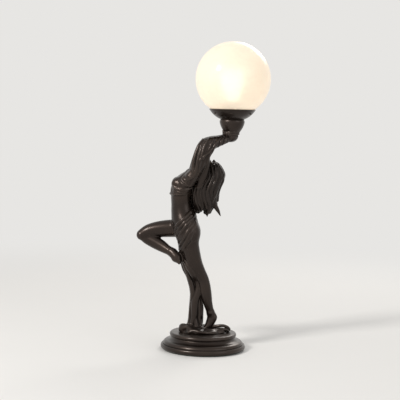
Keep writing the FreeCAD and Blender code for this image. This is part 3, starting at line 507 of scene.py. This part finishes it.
# Folds of a sleeve seen from its own side: (x, z) from the elbow or wrist down, and each one's thickness.
SLEEVE_FOLDS = (
    ([(-10, 444), (-18, 432), (-24, 416), (-28, 400), (-29.5, 386), (-28, 375), (-34, 365)], 3.6),
    ([(-6, 441), (-14, 424), (-19.5, 404), (-22, 387), (-25, 374), (-33, 363.5), (-43, 359.5)], 3.2),
    ([(14, 431), (7, 424), (2, 417.5), (-5, 412), (-9, 406), (-16, 401), (-20, 390), (-20, 378)], 2.8),
    ([(25, 447), (19, 440), (14, 431), (9.5, 421), (4, 412), (0, 401), (-4, 389), (-9, 376)], 3.0),
    ([(5, 449), (-3, 440), (-9, 424), (-13, 408), (-15.5, 393), (-17, 379), (-20, 368)], 2.4),
    ([(12, 446), (8, 437), (4, 427), (-1, 419)], 2.0),
    ([(14, 428), (19, 435), (23, 443), (28, 450)], 2.4),
    ([(22, 430), (26.5, 437), (30, 444), (35, 452)], 2.6),
    ([(31, 434), (35, 440), (38, 446), (41, 453)], 2.2),
)


# Folds on the front of the far sleeve: (y beyond the arm's line, z).
FRONT_FOLDS = (
    [(14, 372), (17, 392), (18, 412), (15, 430)],
    [(22, 376), (22, 396), (21, 416), (16, 436)],
    [(9, 374), (11, 394), (13, 414), (11, 434)],
)


def arm(side):
    way = (0, side, 0)

    def drawn(angle, along):
        return 0.9 * ridges(angle, 5, 9 * along + 1.5 * side) + 0.4 * ridges(angle, 11, 5 * along)

    sleeve = Part([
        Sweep([(-37, 31 * side, 352, 10, 8), (-28, 34 * side, 369, 11.5, 12.5),
               (-19.5, 34 * side, 391, 13.8, 13), (-12.5, 33 * side, 410, 15.4, 13),
               (-3.5, 30 * side, 429, 16.3, 13), (9, 25 * side, 437.2, 13.6, 12),
               (24, 18 * side, 442, 10.4, 10.4), (37, 12 * side, 446.5, 9.0, 9.0)], relief=drawn, count=60),
        Sweep([(3, 20 * side, 410, 3, 6), (-1, 22 * side, 398, 7, 9), (-5, 20 * side, 381, 10, 12),
               (-11, 18 * side, 362, 11, 13), (-17, 16 * side, 345, 8, 11)]),
    ], blend=5)
    wrist = Sweep([(30, 14 * side, 445, 6.5), (42, 10 * side, 448, 7), (48, 9 * side, 450, 7.5)])
    folds = [crease(sleeve, points, FOLD_GROWTH * size, way, 0.1) for points, size in SLEEVE_FOLDS]
    if side > 0:
        folds += [crease(sleeve, [(17 * side + y, z) for y, z in points], 2.2, FRONT)
                  for points in FRONT_FOLDS]
    return Part([Part([sleeve] + folds, blend=0.8), wrist], blend=0.8)


KNOB = np.array([51.0, 0.0, 458.0])  # middle of the knob's foot, which the hands hold


# A finger around the knob's foot: its level and the radius it lies at, and its own half thickness.
FINGERS = ((-13.5, 10, 3.2), (-8.5, 13.4, 3.2), (-3.2, 15.4, 3.0), (1.6, 16.0, 2.8))


def hands():
    cup = Blob(KNOB + (-1, 0, -4.5), (14.8, 15, 13.8))
    shapes = [Part([cup], trims=[(KNOB + (0, 0, 1), (0, 0, 1))]),
              Sweep([(38, 0, 447, 8, 13), (44, 0, 449, 9, 13.5), (50, 0, 451, 9, 13)])]
    for side in (-1, 1):
        for finger, (level, radius, size) in enumerate(FINGERS):
            stations = []
            for i, a in enumerate(np.radians([172, 140, 105, 70, 40 - 7 * finger])):
                place = KNOB + (radius * math.cos(a), side * radius * math.sin(a), level + 0.7 * i)
                stations.append(tuple(place) + (size * (1.05 - 0.07 * i),))
            shapes.append(Sweep(stations))
        thumb = (((-13, 9 * side, -6), 4.0), ((-16.5, 6 * side, 0), 3.4), ((-18, 3.5 * side, 5.5), 2.6))
        shapes.append(Sweep([tuple(KNOB + offset) + (size,) for offset, size in thumb]))
    return Part(shapes, blend=1.6)


def raised_leg():
    thigh = Sweep([(-32, 13, 247, 16, 14), (-50, 18, 252, 18.8, 17.5), (-74, 21, 251.5, 18.6, 17.3),
                   (-98, 23.5, 249, 17.4, 16.2), (-118, 25, 245, 15.2, 14.4), (-131, 25.5, 239.5, 12.8, 12.6),
                   (-137, 25.5, 236, 9.5, 10.5)])
    calf = Sweep([(-136, 25.5, 235, 9.5, 10), (-126, 25, 230, 12.4, 12), (-110, 20, 222.5, 13.4, 12.5),
                  (-93, 12, 214.5, 12.4, 11.4), (-79, 3, 207.5, 10, 9.4), (-68, -3.5, 202.5, 9, 8.4)])
    foot = Part([
        Sweep([(-70, -3, 203.5, 9, 8.4), (-64, -8, 198, 10.2, 9), (-59, -11, 192.5, 10.4, 9),
               (-55, -13, 187, 6.4, 8)]),
        Blob((-59.5, -9, 193), (10.8, 9, 10.6)),
    ] + [Blob((-54.0 + 0.5 * i, -18.5 + 3.1 * i, 183.0 + 0.6 * i), (2.6, 2.0 - 0.15 * i, 3.4))
         for i in range(5)], blend=2.5)
    return Part([thigh, calf, foot, Blob((-139.3, 25.5, 236.5), (5.3, 7.5, 8.5))], blend=5)


def standing_leg():
    leg = Sweep([(-36, -15, 246, 17, 16), (-33, -15.5, 228, 18.5, 17.5), (-28, -14.5, 204, 18, 17),
                 (-22, -12.5, 183, 17, 15.6), (-13, -10.5, 166, 14.5, 13.4), (-3, -9, 150, 11.8, 11.4),
                 (1, -8, 136, 12, 11.6), (4, -6, 118, 12.2, 11.8), (8, -3, 100, 10.2, 9.8),
                 (12.6, 1, 84, 8.4, 8.2), (15, 3, 75, 8, 7.6)])
    foot = Part([
        Sweep([(15.5, 3, 77, 8, 7.6), (18, 4, 66, 10.4, 8.2), (15, 4.5, 56, 9.4, 8.8),
               (10, 4.5, 47.5, 7.6, 9.4), (3.5, 4.5, 42, 5, 9)]),
        Blob((22.5, 3.5, 66.5), (6.5, 6.6, 7.5)), Blob((15, -4.5, 77), (3, 2.6, 3.4)),
    ] + [Blob((-1.5 + 0.8 * i, 11.4 - 3.5 * i, 39.4), (4.2, 2.2 - 0.15 * i, 2.8)) for i in range(5)],
        blend=2.5)
    knee = Blob((-10, -9.5, 151), (5, 7, 8))
    return Part([leg, foot, knee], blend=4, trims=[((0, 0, COLUMN_FOOT), DOWN)])


# The hip cloth seen from the side: (x, z) down each fold, and its thickness.
HIP_FOLDS = (
    ([(-22, 300), (-33, 291), (-46, 278), (-58, 266), (-64, 254), (-64, 244)], 3.6),
    ([(-20, 292), (-31, 284), (-43, 272), (-54, 260), (-60, 249), (-61, 238)], 3.2),
    ([(-25, 283), (-34, 274), (-42, 264), (-50, 251), (-56, 239), (-57, 226)], 2.8),
    ([(-22, 276), (-30, 264), (-38, 250), (-45, 237), (-51, 224), (-55, 210)], 3.0),
    ([(-20, 268), (-28, 256), (-34, 243), (-41, 228), (-48, 215), (-54, 203)], 3.4),
    ([(-17, 281), (-22, 268), (-27, 254), (-33, 240), (-40, 225), (-47, 211), (-54, 197)], 3.6),
)
HEM_POINT = (-49.0, 0.0, 276.5)  # the hip cloth's upper edge slopes up towards the back through here
HEM_RISE = 0.95


def hip_drape():
    def hanging(angle, along):
        front = (0.5 + 0.5 * np.cos(angle)) ** 1.5
        swing = ridges(angle, 9, 10 * along + 0.8 * np.sin(2 * angle))
        return 3.2 * swing * front * (0.4 + 0.6 * along) + 0.5 * ridges(angle, 21, 15 * along) * front

    leg = standing_leg()
    skirt = Part([
        Sweep([(-50, 0, 292, 24, 30), (-46, 0, 276, 26.5, 36.5), (-40.5, 0, 255, 26, 39),
               (-37.5, -1, 234, 21.5, 35.5), (-36.5, 1, 212, 18, 27), (-35, 3, 190, 16, 19),
               (-31, 4.5, 172, 14.5, 16), (-26, 5, 160, 12, 13)], relief=hanging, count=60),
    ], trims=[(HEM_POINT, (-HEM_RISE, 0, 1))])
    under = Part([skirt, leg], blend=2)
    folds = [crease(under, points, HIP_FOLD_GROWTH * size, way, 0.1)
             for way in (NEAR, FAR) for points, size in HIP_FOLDS]
    for count in range(5):
        low = 268 - 11 * count
        points = [(-30, low + 4), (-20, low - 5), (-7, low - 10 - 2 * count), (8, low - 9 - 2 * count),
                  (20, low - 3), (30, low + 5)]
        folds.append(crease(under, points, 2.6, FRONT, 0.4))
    return Part([skirt, Part(folds, blend=0.6)], blend=0.9)


# The falling cloth seen from the near side: (x, z) down each fold, and its thickness.
COLUMN_FOLDS = (
    ([(-45, 186), (-41, 173), (-34, 156), (-27.5, 139), (-23.5, 120), (-24, 100), (-27, 80), (-29, 60),
      (-31, 46)], 4.6),
    ([(-44, 190), (-35, 176), (-25, 161), (-16, 147), (-12, 134), (-13.5, 119), (-18, 103), (-19.5, 86),
      (-20, 70), (-24, 55), (-28, 44)], 7.0),
    ([(-19, 72), (-17, 60), (-14, 50), (-9, 43)], 4.4),
    ([(-14, 128), (-11, 112), (-10, 96), (-9, 80), (-9, 64), (-6, 50)], 3.6),
    ([(-17, 112), (-15, 98), (-15, 84), (-15, 68)], 2.4),
    ([(-6, 104), (-4.5, 88), (-4.5, 70), (-2, 54)], 2.8),
)


def drapery_column():
    def hanging(angle, along):
        wide = ridges(angle, 6, 3.2 * along + 0.9 * np.sin(2 * angle + 1))
        away = 0.3 + 0.7 * (0.5 + 0.5 * np.sin(angle))
        return 3.6 * wide * away + 0.6 * ridges(angle, 14, 6.5 * along) - 0.8

    leg = standing_leg()
    core = Part([Sweep([(-35, 4, 190, 14.5, 17), (-31, 4.8, 172, 13.5, 15.8), (-24, 5, 150, 12.4, 14.6),
                        (-18.5, 5, 126, 11.6, 13.8), (-16, 5, 95, 12.4, 14), (-17.5, 5, 62, 14.8, 15.8),
                        (-18, 5, 45, 18, 19), (-18, 5, 33, 22, 22)], relief=hanging, count=60)])
    under = Part([core, leg], blend=1)
    folds = [crease(under, points, FOLD_GROWTH * size, NEAR, 0.0) for points, size in COLUMN_FOLDS]
    folds += [crease(core, [(x + 2 * math.sin(i), z) for i, (x, z) in enumerate(points)], size, FAR, 0.4)
              for points, size in COLUMN_FOLDS]
    return Part([core, Part(folds, blend=0.9)], blend=1.2, trims=[((0, 0, COLUMN_FOOT), DOWN)])


def drapery_puddle():
    lobes = [Blob((-39.5, -8, 43), (12.5, 11, 10.5)), Blob((-22, -22, 40.5), (14, 12, 9.5)),
             Blob((-6, -28, 38.5), (14, 11, 7.5)), Blob((14, -22, 38), (15, 11, 6.5)),
             Blob((-30, 10, 40), (13, 14, 9)), Blob((-10, 22, 39), (17, 13, 8)),
             Blob((20, 18, 38), (20, 13, 7)), Blob((30, -9, 38), (15, 9, 6))]
    ground = Part([Blob((-4, -4, 35), (44, 30, 8))] + lobes, blend=5)
    runs = [
        [(-48, -4, 40, 2.5), (-42, -14, 46, 4), (-33, -20, 48, 4), (-24, -28, 44, 3.6), (-14, -36, 39, 2.5)],
        [(-50, 4, 40, 2.5), (-46, -6, 49, 3.6), (-36, -14, 51, 3.4), (-25, -16, 49, 3.2), (-12, -24, 44, 3),
         (2, -34, 39, 2.4)],
        [(-30, -30, 39, 3), (-20, -32, 43, 3.6), (-8, -37, 42, 3.6), (5, -37, 40, 3.2), (17, -31, 39, 3),
         (27, -20, 39, 2.6)],
        [(-12, -16, 46, 3.4), (0, -22, 44, 3.6), (12, -24, 43, 3.4), (24, -18, 42, 3), (35, -13, 40, 2.8)],
        [(-6, -10, 46, 3), (8, -14, 43, 3.2), (20, -14, 42, 3), (33, -9, 42, 2.8), (44, -5, 42, 2.6)],
        [(14, 6, 42, 4), (22, 2, 46.5, 3.8), (32, -3, 49.5, 3.4), (43, -5, 50.5, 3.2), (51, -2, 47, 3.4),
         (55, 5, 41, 3.6), (48, 12, 38.5, 4), (34, 15, 38.5, 4.5)],
        [(24, -6, 41, 3.4), (36, -9, 43, 3.4), (47, -7, 43, 3), (53, -1, 39, 2.6)],
        [(-40, 12, 42, 4), (-28, 22, 44, 4.5), (-8, 29, 43, 4.5), (14, 27, 42, 4.2), (34, 20, 40, 3.6)],
        [(-26, 14, 46, 3.6), (-10, 18, 45, 4), (8, 18, 44, 4), (24, 13, 42, 3.4)],
    ]
    return Part([ground, Part([Sweep(run) for run in runs], blend=1.6)], blend=3.0,
                trims=[((0, 0, PUDDLE_FOOT), DOWN)])


FIGURE = {
    "torso": (torso(), "skin"), "head": (head(), "skin"), "hair": (hair(), "hair"),
    "near_arm": (arm(-1), "cloth"), "far_arm": (arm(1), "cloth"), "hands": (hands(), "skin"),
    "raised_leg": (raised_leg(), "skin"), "standing_leg": (standing_leg(), "skin"),
    "hip_drape": (hip_drape(), "cloth"), "drapery_column": (drapery_column(), "cloth"),
    "drapery_puddle": (drapery_puddle(), "cloth"),
}
DETAILED = ("head", "hair", "hands")


GLOBE_RADIUS, GLASS_WALL, NECK_RADIUS = 0.080, 0.003, 0.036
LIP = 0.0012  # roundness of the neck's ground edge
WALL_STEPS, LIP_STEPS, LATHE_STEPS = 90, 9, 128


def globe_profile(foot, centre):
    """The glass wall as a ring of (radius, level): up the outside to the top, and down the inside."""
    inner_radius, neck_inner = GLOBE_RADIUS - GLASS_WALL, NECK_RADIUS - GLASS_WALL
    start = math.asin(NECK_RADIUS / GLOBE_RADIUS)
    inner_start = math.asin(neck_inner / inner_radius)
    outside = [(NECK_RADIUS, foot + LIP)]
    outside += [(GLOBE_RADIUS * math.sin(a), centre - GLOBE_RADIUS * math.cos(a))
                for a in np.linspace(start, math.pi, WALL_STEPS)]
    inside = [(inner_radius * math.sin(a), centre - inner_radius * math.cos(a))
              for a in np.linspace(math.pi, inner_start, WALL_STEPS)]
    inside += [(neck_inner, foot + LIP)]
    middle, half = (NECK_RADIUS + neck_inner) / 2, GLASS_WALL / 2
    lip = [(middle + half * math.cos(a), foot + LIP + LIP * math.sin(a))
           for a in np.linspace(-math.pi, 0, LIP_STEPS)[1:-1]]
    return outside + inside + lip


def lathed(name, profile, axis, count=LATHE_STEPS):
    """A closed glass wall turned about the upright line at x = axis."""
    made = bmesh.new()
    rings = [[made.verts.new((axis + r * math.cos(a), r * math.sin(a), z)) for a in
              np.linspace(0, 2 * math.pi, count, endpoint=False)] for r, z in profile]
    for i, ring in enumerate(rings):
        after = rings[(i + 1) % len(rings)]
        if max(profile[i][0], profile[(i + 1) % len(rings)][0]) < CLOSE_TO_ZERO:
            continue
        for k in range(count):
            made.faces.new((ring[k], ring[k - 1], after[k - 1], after[k]))
    bmesh.ops.remove_doubles(made, verts=made.verts, dist=CLOSE_TO_ZERO)
    bmesh.ops.recalc_face_normals(made, faces=made.faces)
    mesh = bpy.data.meshes.new(name)
    made.to_mesh(mesh)
    made.free()
    mesh.shade_smooth()
    piece = bpy.data.objects.new(name, mesh)
    bpy.context.scene.collection.objects.link(piece)
    return piece


def add_globe():
    low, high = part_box("globe")
    centre = high[2] - GLOBE_RADIUS
    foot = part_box("globe_neck")[0][2]
    piece = lathed("blown_globe", globe_profile(foot, centre), (low[0] + high[0]) / 2)
    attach(piece, "globe")
    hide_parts("globe", "globe_shoulder", "globe_neck")
    piece.data.materials.append(MATERIALS["opal_glass"])


def add_figure():
    for name in FIGURE:
        piece = sculpted(FIGURE, name, FINE if name in DETAILED else COARSE)
        piece.name = "cast_" + name
        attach(piece, STAND)
        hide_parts(name)
        # the hair takes a darker copy of the bronze as painted shade
        finish = "bronze_hair_painted_shade" if name == "hair" else "bronze"
        piece.data.materials.append(MATERIALS[finish])


# ---------------------------------------------------------------- materials


class Tree:
    """A material's node tree with short ways to add and link nodes."""

    def __init__(self, name, **sockets):
        self.material = bpy.data.materials.new(name)
        self.material.use_nodes = True
        self.tree = self.material.node_tree
        self.shader = self.tree.nodes["Principled BSDF"]
        for socket, value in sockets.items():
            self.shader.inputs[socket.replace("_", " ")].default_value = value
        self.place = self.tree.nodes.new("ShaderNodeTexCoord").outputs["Object"]

    def node(self, kind, **inputs):
        made = self.tree.nodes.new(kind)
        for key, value in inputs.items():
            self.put(made.inputs[key.replace("_", " ")], value)
        return made

    def put(self, socket, value):
        if isinstance(value, bpy.types.NodeSocket):
            self.tree.links.new(value, socket)
        else:
            socket.default_value = value

    def noise(self, scale, detail=4.0, stretch=(1, 1, 1)):
        """Noise with scale blotches to the metre, squeezed along each axis by stretch."""
        place = self.node("ShaderNodeMapping", Vector=self.place, Scale=stretch).outputs["Vector"]
        return self.node("ShaderNodeTexNoise", Vector=place, Scale=scale, Detail=detail).outputs["Fac"]

    def ramp(self, factor, stops):
        """A colour ramp; stops are (place, grey or colour)."""
        made = self.node("ShaderNodeValToRGB", Fac=factor)
        elements = made.color_ramp.elements
        while len(elements) < len(stops):
            elements.new(0.5)
        for element, (place, colour) in zip(elements, stops):
            element.position = place
            element.color = (*colour, 1) if isinstance(colour, tuple) else (colour, colour, colour, 1)
        return made.outputs["Color"]

    def mix(self, factor, first, second, blend="MIX"):
        made = self.node("ShaderNodeMix")
        made.data_type, made.blend_type = "RGBA", blend
        for index, value in ((0, factor), (6, first), (7, second)):
            self.put(made.inputs[index], (*value, 1) if isinstance(value, tuple) else value)
        return made.outputs[2]

    def math(self, operation, first, second):
        made = self.tree.nodes.new("ShaderNodeMath")
        made.operation = operation
        self.put(made.inputs[0], first)
        self.put(made.inputs[1], second)
        return made.outputs[0]

    def relief(self, height, strength, distance):
        bump = self.node("ShaderNodeBump", Height=height, Strength=strength, Distance=distance)
        self.put(self.shader.inputs["Normal"], bump.outputs["Normal"])

    def edges(self, low, high):
        """White on sharp raised edges, black in hollows."""
        point = self.tree.nodes.new("ShaderNodeNewGeometry").outputs["Pointiness"]
        return self.ramp(point, [(low, 0.0), (high, 1.0)])


def bronze(name, shade=1.0):
    """Cast bronze with a dark brown patina under wax, rubbed a little brighter on its raised folds, with painted
    shade that darkens its hollows and creases; shade scales the whole patina, and the hair's copy uses it as
    painted shade.
    """
    t = Tree(name, Metallic=0.75, Coat_Weight=0.25, Coat_Roughness=0.22, Specular_IOR_Level=0.2)
    browns = ((0.3, (0.021, 0.014, 0.011)), (0.55, (0.029, 0.020, 0.016)), (0.75, (0.040, 0.027, 0.020)))
    # shade scales the patina; below 1 it is painted shade
    patina = t.ramp(t.noise(18, 5), [(place, tuple(shade * c for c in colour)) for place, colour in browns])
    rubbed = t.mix(t.edges(0.5, 0.6), patina, (0.095, 0.075, 0.063))
    point = t.tree.nodes.new("ShaderNodeNewGeometry").outputs["Pointiness"]
    # painted shade: where the surface curves inwards (low pointiness) the colour is darkened down to 0.3
    hollow = t.ramp(point, [(0.43, 0.3), (0.492, 1.0)])
    t.put(t.shader.inputs["Base Color"], t.mix(1.0, rubbed, hollow, "MULTIPLY"))
    t.put(t.shader.inputs["Roughness"], t.ramp(t.noise(60, 6), [(0.3, 0.30), (0.7, 0.39)]))
    t.relief(t.math("ADD", t.noise(260, 3), t.noise(1400, 2)), 0.04, 0.0004)
    return t.material


def metal(name, colour, roughness, grain=(1, 1, 1), tarnish=0.75, pits=0.06):
    """A bare metal with brush marks or casting grain and slightly tarnished patches."""
    t = Tree(name, Metallic=1.0)
    dull = tuple(c * tarnish for c in colour)
    t.put(t.shader.inputs["Base Color"], t.ramp(t.noise(45, 5), [(0.35, dull), (0.6, colour)]))
    marks = t.noise(900, 3, grain)
    t.put(t.shader.inputs["Roughness"], t.ramp(marks, [(0.3, roughness * 0.85), (0.7, roughness * 1.25)]))
    t.relief(marks, pits, 0.0003)
    return t.material


def moulded(name, colour, roughness, grain=1200.0, strength=0.05):
    """Moulded plastic or rubber: a fine even grain and faint cloudiness."""
    t = Tree(name)
    deeper = tuple(c * 0.86 for c in colour)
    t.put(t.shader.inputs["Base Color"], t.ramp(t.noise(70, 4), [(0.3, deeper), (0.7, colour)]))
    gloss = [(0.3, roughness * 0.9), (0.7, roughness * 1.15)]
    t.put(t.shader.inputs["Roughness"], t.ramp(t.noise(240, 4), gloss))
    t.relief(t.noise(grain, 3), strength, 0.0003)
    return t.material


def felt():
    t = Tree("felt", Roughness=0.95, Sheen_Weight=0.5, Sheen_Roughness=0.6)
    fibre = t.noise(900, 8, (1, 1, 0.3))
    greens = [(0.3, (0.018, 0.035, 0.022)), (0.7, (0.05, 0.085, 0.055))]
    t.put(t.shader.inputs["Base Color"], t.ramp(fibre, greens))
    t.relief(fibre, 0.6, 0.0006)
    return t.material


def opal_glass():
    """Opal glass lit from inside: the bulb shows through the middle, and the glass itself glows creamy."""
    t = Tree("opal_glass", Roughness=0.4, Coat_Weight=0.4, Coat_Roughness=0.1, IOR=1.3,
             Transmission_Weight=0.35)
    cloud = t.math("ADD", t.noise(30, 6), t.noise(140, 4))
    milky = t.ramp(t.math("MULTIPLY", cloud, 0.5), [(0.35, (0.64, 0.59, 0.52)), (0.65, (0.66, 0.61, 0.54))])
    t.put(t.shader.inputs["Base Color"], milky)
    t.put(t.shader.inputs["Emission Color"], t.mix(1.0, milky, (1.0, 0.92, 0.80), "MULTIPLY"))
    t.put(t.shader.inputs["Emission Strength"], t.ramp(cloud, [(0.7, 0.53), (1.3, 0.56)]))
    t.relief(t.noise(500, 4), 0.05, 0.0003)
    return t.material


BULB_STRENGTH = 3.2


def bulb_glass():
    t = Tree("bulb_glass", Roughness=0.3, IOR=1.45, Transmission_Weight=0.25)
    frost = t.noise(700, 5)
    whites = [(0.3, (0.88, 0.86, 0.82)), (0.7, (0.96, 0.95, 0.92))]
    t.put(t.shader.inputs["Base Color"], t.ramp(frost, whites))
    glow = [(0.3, (1, 0.84, 0.62)), (0.7, (1, 0.9, 0.74))]
    t.put(t.shader.inputs["Emission Color"], t.ramp(t.noise(60, 3), glow))
    share = t.ramp(frost, [(0.3, 0.8), (0.7, 1.0)])
    t.put(t.shader.inputs["Emission Strength"], t.math("MULTIPLY", share, BULB_STRENGTH))
    t.relief(frost, 0.08, 0.0002)
    return t.material


MATERIALS = {
    "bronze": bronze("bronze"),
    # a darker copy of the bronze: painted shade for the hair
    "bronze_hair_painted_shade": bronze("bronze_hair_painted_shade", 0.6),
    "iron": metal("iron", (0.16, 0.15, 0.145), 0.62, tarnish=0.6, pits=0.5),
    "steel": metal("steel", (0.56, 0.55, 0.53), 0.3, grain=(1, 12, 12)),
    "felt": felt(),
    "rubber": moulded("rubber", (0.03, 0.029, 0.028), 0.62),
    "white_plastic": moulded("white_plastic", (0.78, 0.77, 0.74), 0.42),
    "holder_plastic": moulded("holder_plastic", (0.045, 0.04, 0.036), 0.35),
    "lead_sheath": moulded("lead_sheath", (0.62, 0.6, 0.55), 0.5),
    "brass": metal("brass", (0.80, 0.58, 0.27), 0.26, grain=(1, 1, 10)),
    "solder": metal("solder", (0.62, 0.62, 0.62), 0.4),
    "aluminium": metal("aluminium", (0.78, 0.78, 0.77), 0.28, grain=(1, 1, 14)),
    "opal_glass": opal_glass(),
    "bulb_glass": bulb_glass(),
}


def dress_nodes():
    """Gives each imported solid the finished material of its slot."""
    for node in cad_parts.values():
        for slot in node.material_slots:
            slot.material = MATERIALS[slot.material.name.split(".")[0]]


# ---------------------------------------------------------------- camera, floor and light

CAMERA_PLACE = (-0.0178, -2.442, 0.5021)
CAMERA_LEAN = math.radians(-1.4)  # the picture leans a little to the right
CAMERA_LENS = 103.5
CAMERA_SHIFT = -0.22  # the picture looks level and takes in more below the horizon

FLOOR_REACH = 9.0
PALE = (0.80, 0.79, 0.77)

# name, place, size across and up, strength in watts, colour
LAMPS = (
    ("key", (-1.9, -1.6, 1.9), (0.5, 0.5), 53.0, (1.0, 0.98, 0.95)),
    ("fill", (2.2, -1.7, 1.3), (1.6, 1.6), 9.0, (0.96, 0.98, 1.0)),
    ("rim", (0.9, 2.0, 1.7), (1.4, 0.9), 21.0, (1.0, 0.97, 0.93)),
)
AROUND = 0.5  # the world's strength as light; where it is seen it is PALE
LAMP_AIM = (0, 0, 0.3)
FADE = (0.75, 2.0)  # metres from the lamp between which the floor turns into the backdrop


def seen_ray(nodes, links):
    """1 for a ray that shows the background: from the camera, off a gloss or through glass."""
    rays = nodes.new("ShaderNodeLightPath")
    total = rays.outputs["Is Camera Ray"]
    for name in ("Is Glossy Ray", "Is Transmission Ray"):
        most = nodes.new("ShaderNodeMath")
        most.operation = "MAXIMUM"
        links.new(total, most.inputs[0])
        links.new(rays.outputs[name], most.inputs[1])
        total = most.outputs[0]
    return total


def add_camera():
    data = bpy.data.cameras.new("camera")
    data.lens, data.shift_y = CAMERA_LENS, CAMERA_SHIFT
    data.clip_start, data.clip_end = 0.05, 60
    camera = bpy.data.objects.new("camera", data)
    camera.location = CAMERA_PLACE
    camera.rotation_euler = (math.pi / 2, CAMERA_LEAN, 0)
    bpy.context.scene.collection.objects.link(camera)
    bpy.context.scene.camera = camera


def add_floor():
    mesh = bpy.data.meshes.new("floor")
    corners = [(x * FLOOR_REACH, y * FLOOR_REACH, 0.0) for x, y in ((-1, -1), (1, -1), (1, 1), (-1, 1))]
    mesh.from_pydata(corners, [], [(0, 1, 2, 3)])
    floor = bpy.data.objects.new("floor", mesh)
    bpy.context.scene.collection.objects.link(floor)
    t = Tree("floor", Roughness=0.8)
    clouds = [(0.3, tuple(0.97 * c for c in PALE)), (0.7, PALE)]
    t.put(t.shader.inputs["Base Color"], t.ramp(t.noise(1.2, 4), clouds))
    far = t.node("ShaderNodeVectorMath", Vector=t.place)
    far.operation = "LENGTH"
    reach = t.node("ShaderNodeMapRange", Value=far.outputs["Value"])
    reach.interpolation_type = "SMOOTHSTEP"
    reach.inputs["From Min"].default_value, reach.inputs["From Max"].default_value = FADE
    share = t.math("MULTIPLY", reach.outputs["Result"], seen_ray(t.tree.nodes, t.tree.links))
    backdrop = t.node("ShaderNodeEmission", Color=(*PALE, 1), Strength=1.0)
    blend = t.node("ShaderNodeMixShader", Fac=share)
    t.put(blend.inputs[1], t.shader.outputs[0])
    t.put(blend.inputs[2], backdrop.outputs[0])
    t.put(t.tree.nodes["Material Output"].inputs["Surface"], blend.outputs[0])
    mesh.materials.append(t.material)


def add_light():
    for name, place, size, watts, colour in LAMPS:
        data = bpy.data.lights.new(name, "AREA")
        data.shape, (data.size, data.size_y) = "RECTANGLE", size
        data.energy, data.color = watts, colour
        lamp = bpy.data.objects.new(name, data)
        lamp.location = place
        lamp.rotation_euler = (Vector(LAMP_AIM) - Vector(place)).to_track_quat("-Z", "Y").to_euler()
        bpy.context.scene.collection.objects.link(lamp)
    world = bpy.data.worlds.new("world")
    bpy.context.scene.world = world
    world.use_nodes = True
    nodes, links = world.node_tree.nodes, world.node_tree.links
    seen, light = nodes["Background"], nodes.new("ShaderNodeBackground")
    seen.inputs["Color"].default_value, seen.inputs["Strength"].default_value = (*PALE, 1), 1.0
    light.inputs["Color"].default_value, light.inputs["Strength"].default_value = (1, 1, 1, 1), AROUND
    mix = nodes.new("ShaderNodeMixShader")
    links.new(seen_ray(nodes, links), mix.inputs[0])
    links.new(light.outputs[0], mix.inputs[1])
    links.new(seen.outputs[0], mix.inputs[2])
    links.new(mix.outputs[0], nodes["World Output"].inputs["Surface"])


def main():
    bpy.context.scene.view_settings.view_transform = "Standard"
    add_camera()
    add_floor()
    add_light()
    dress_nodes()
    add_figure()
    add_globe()


main()
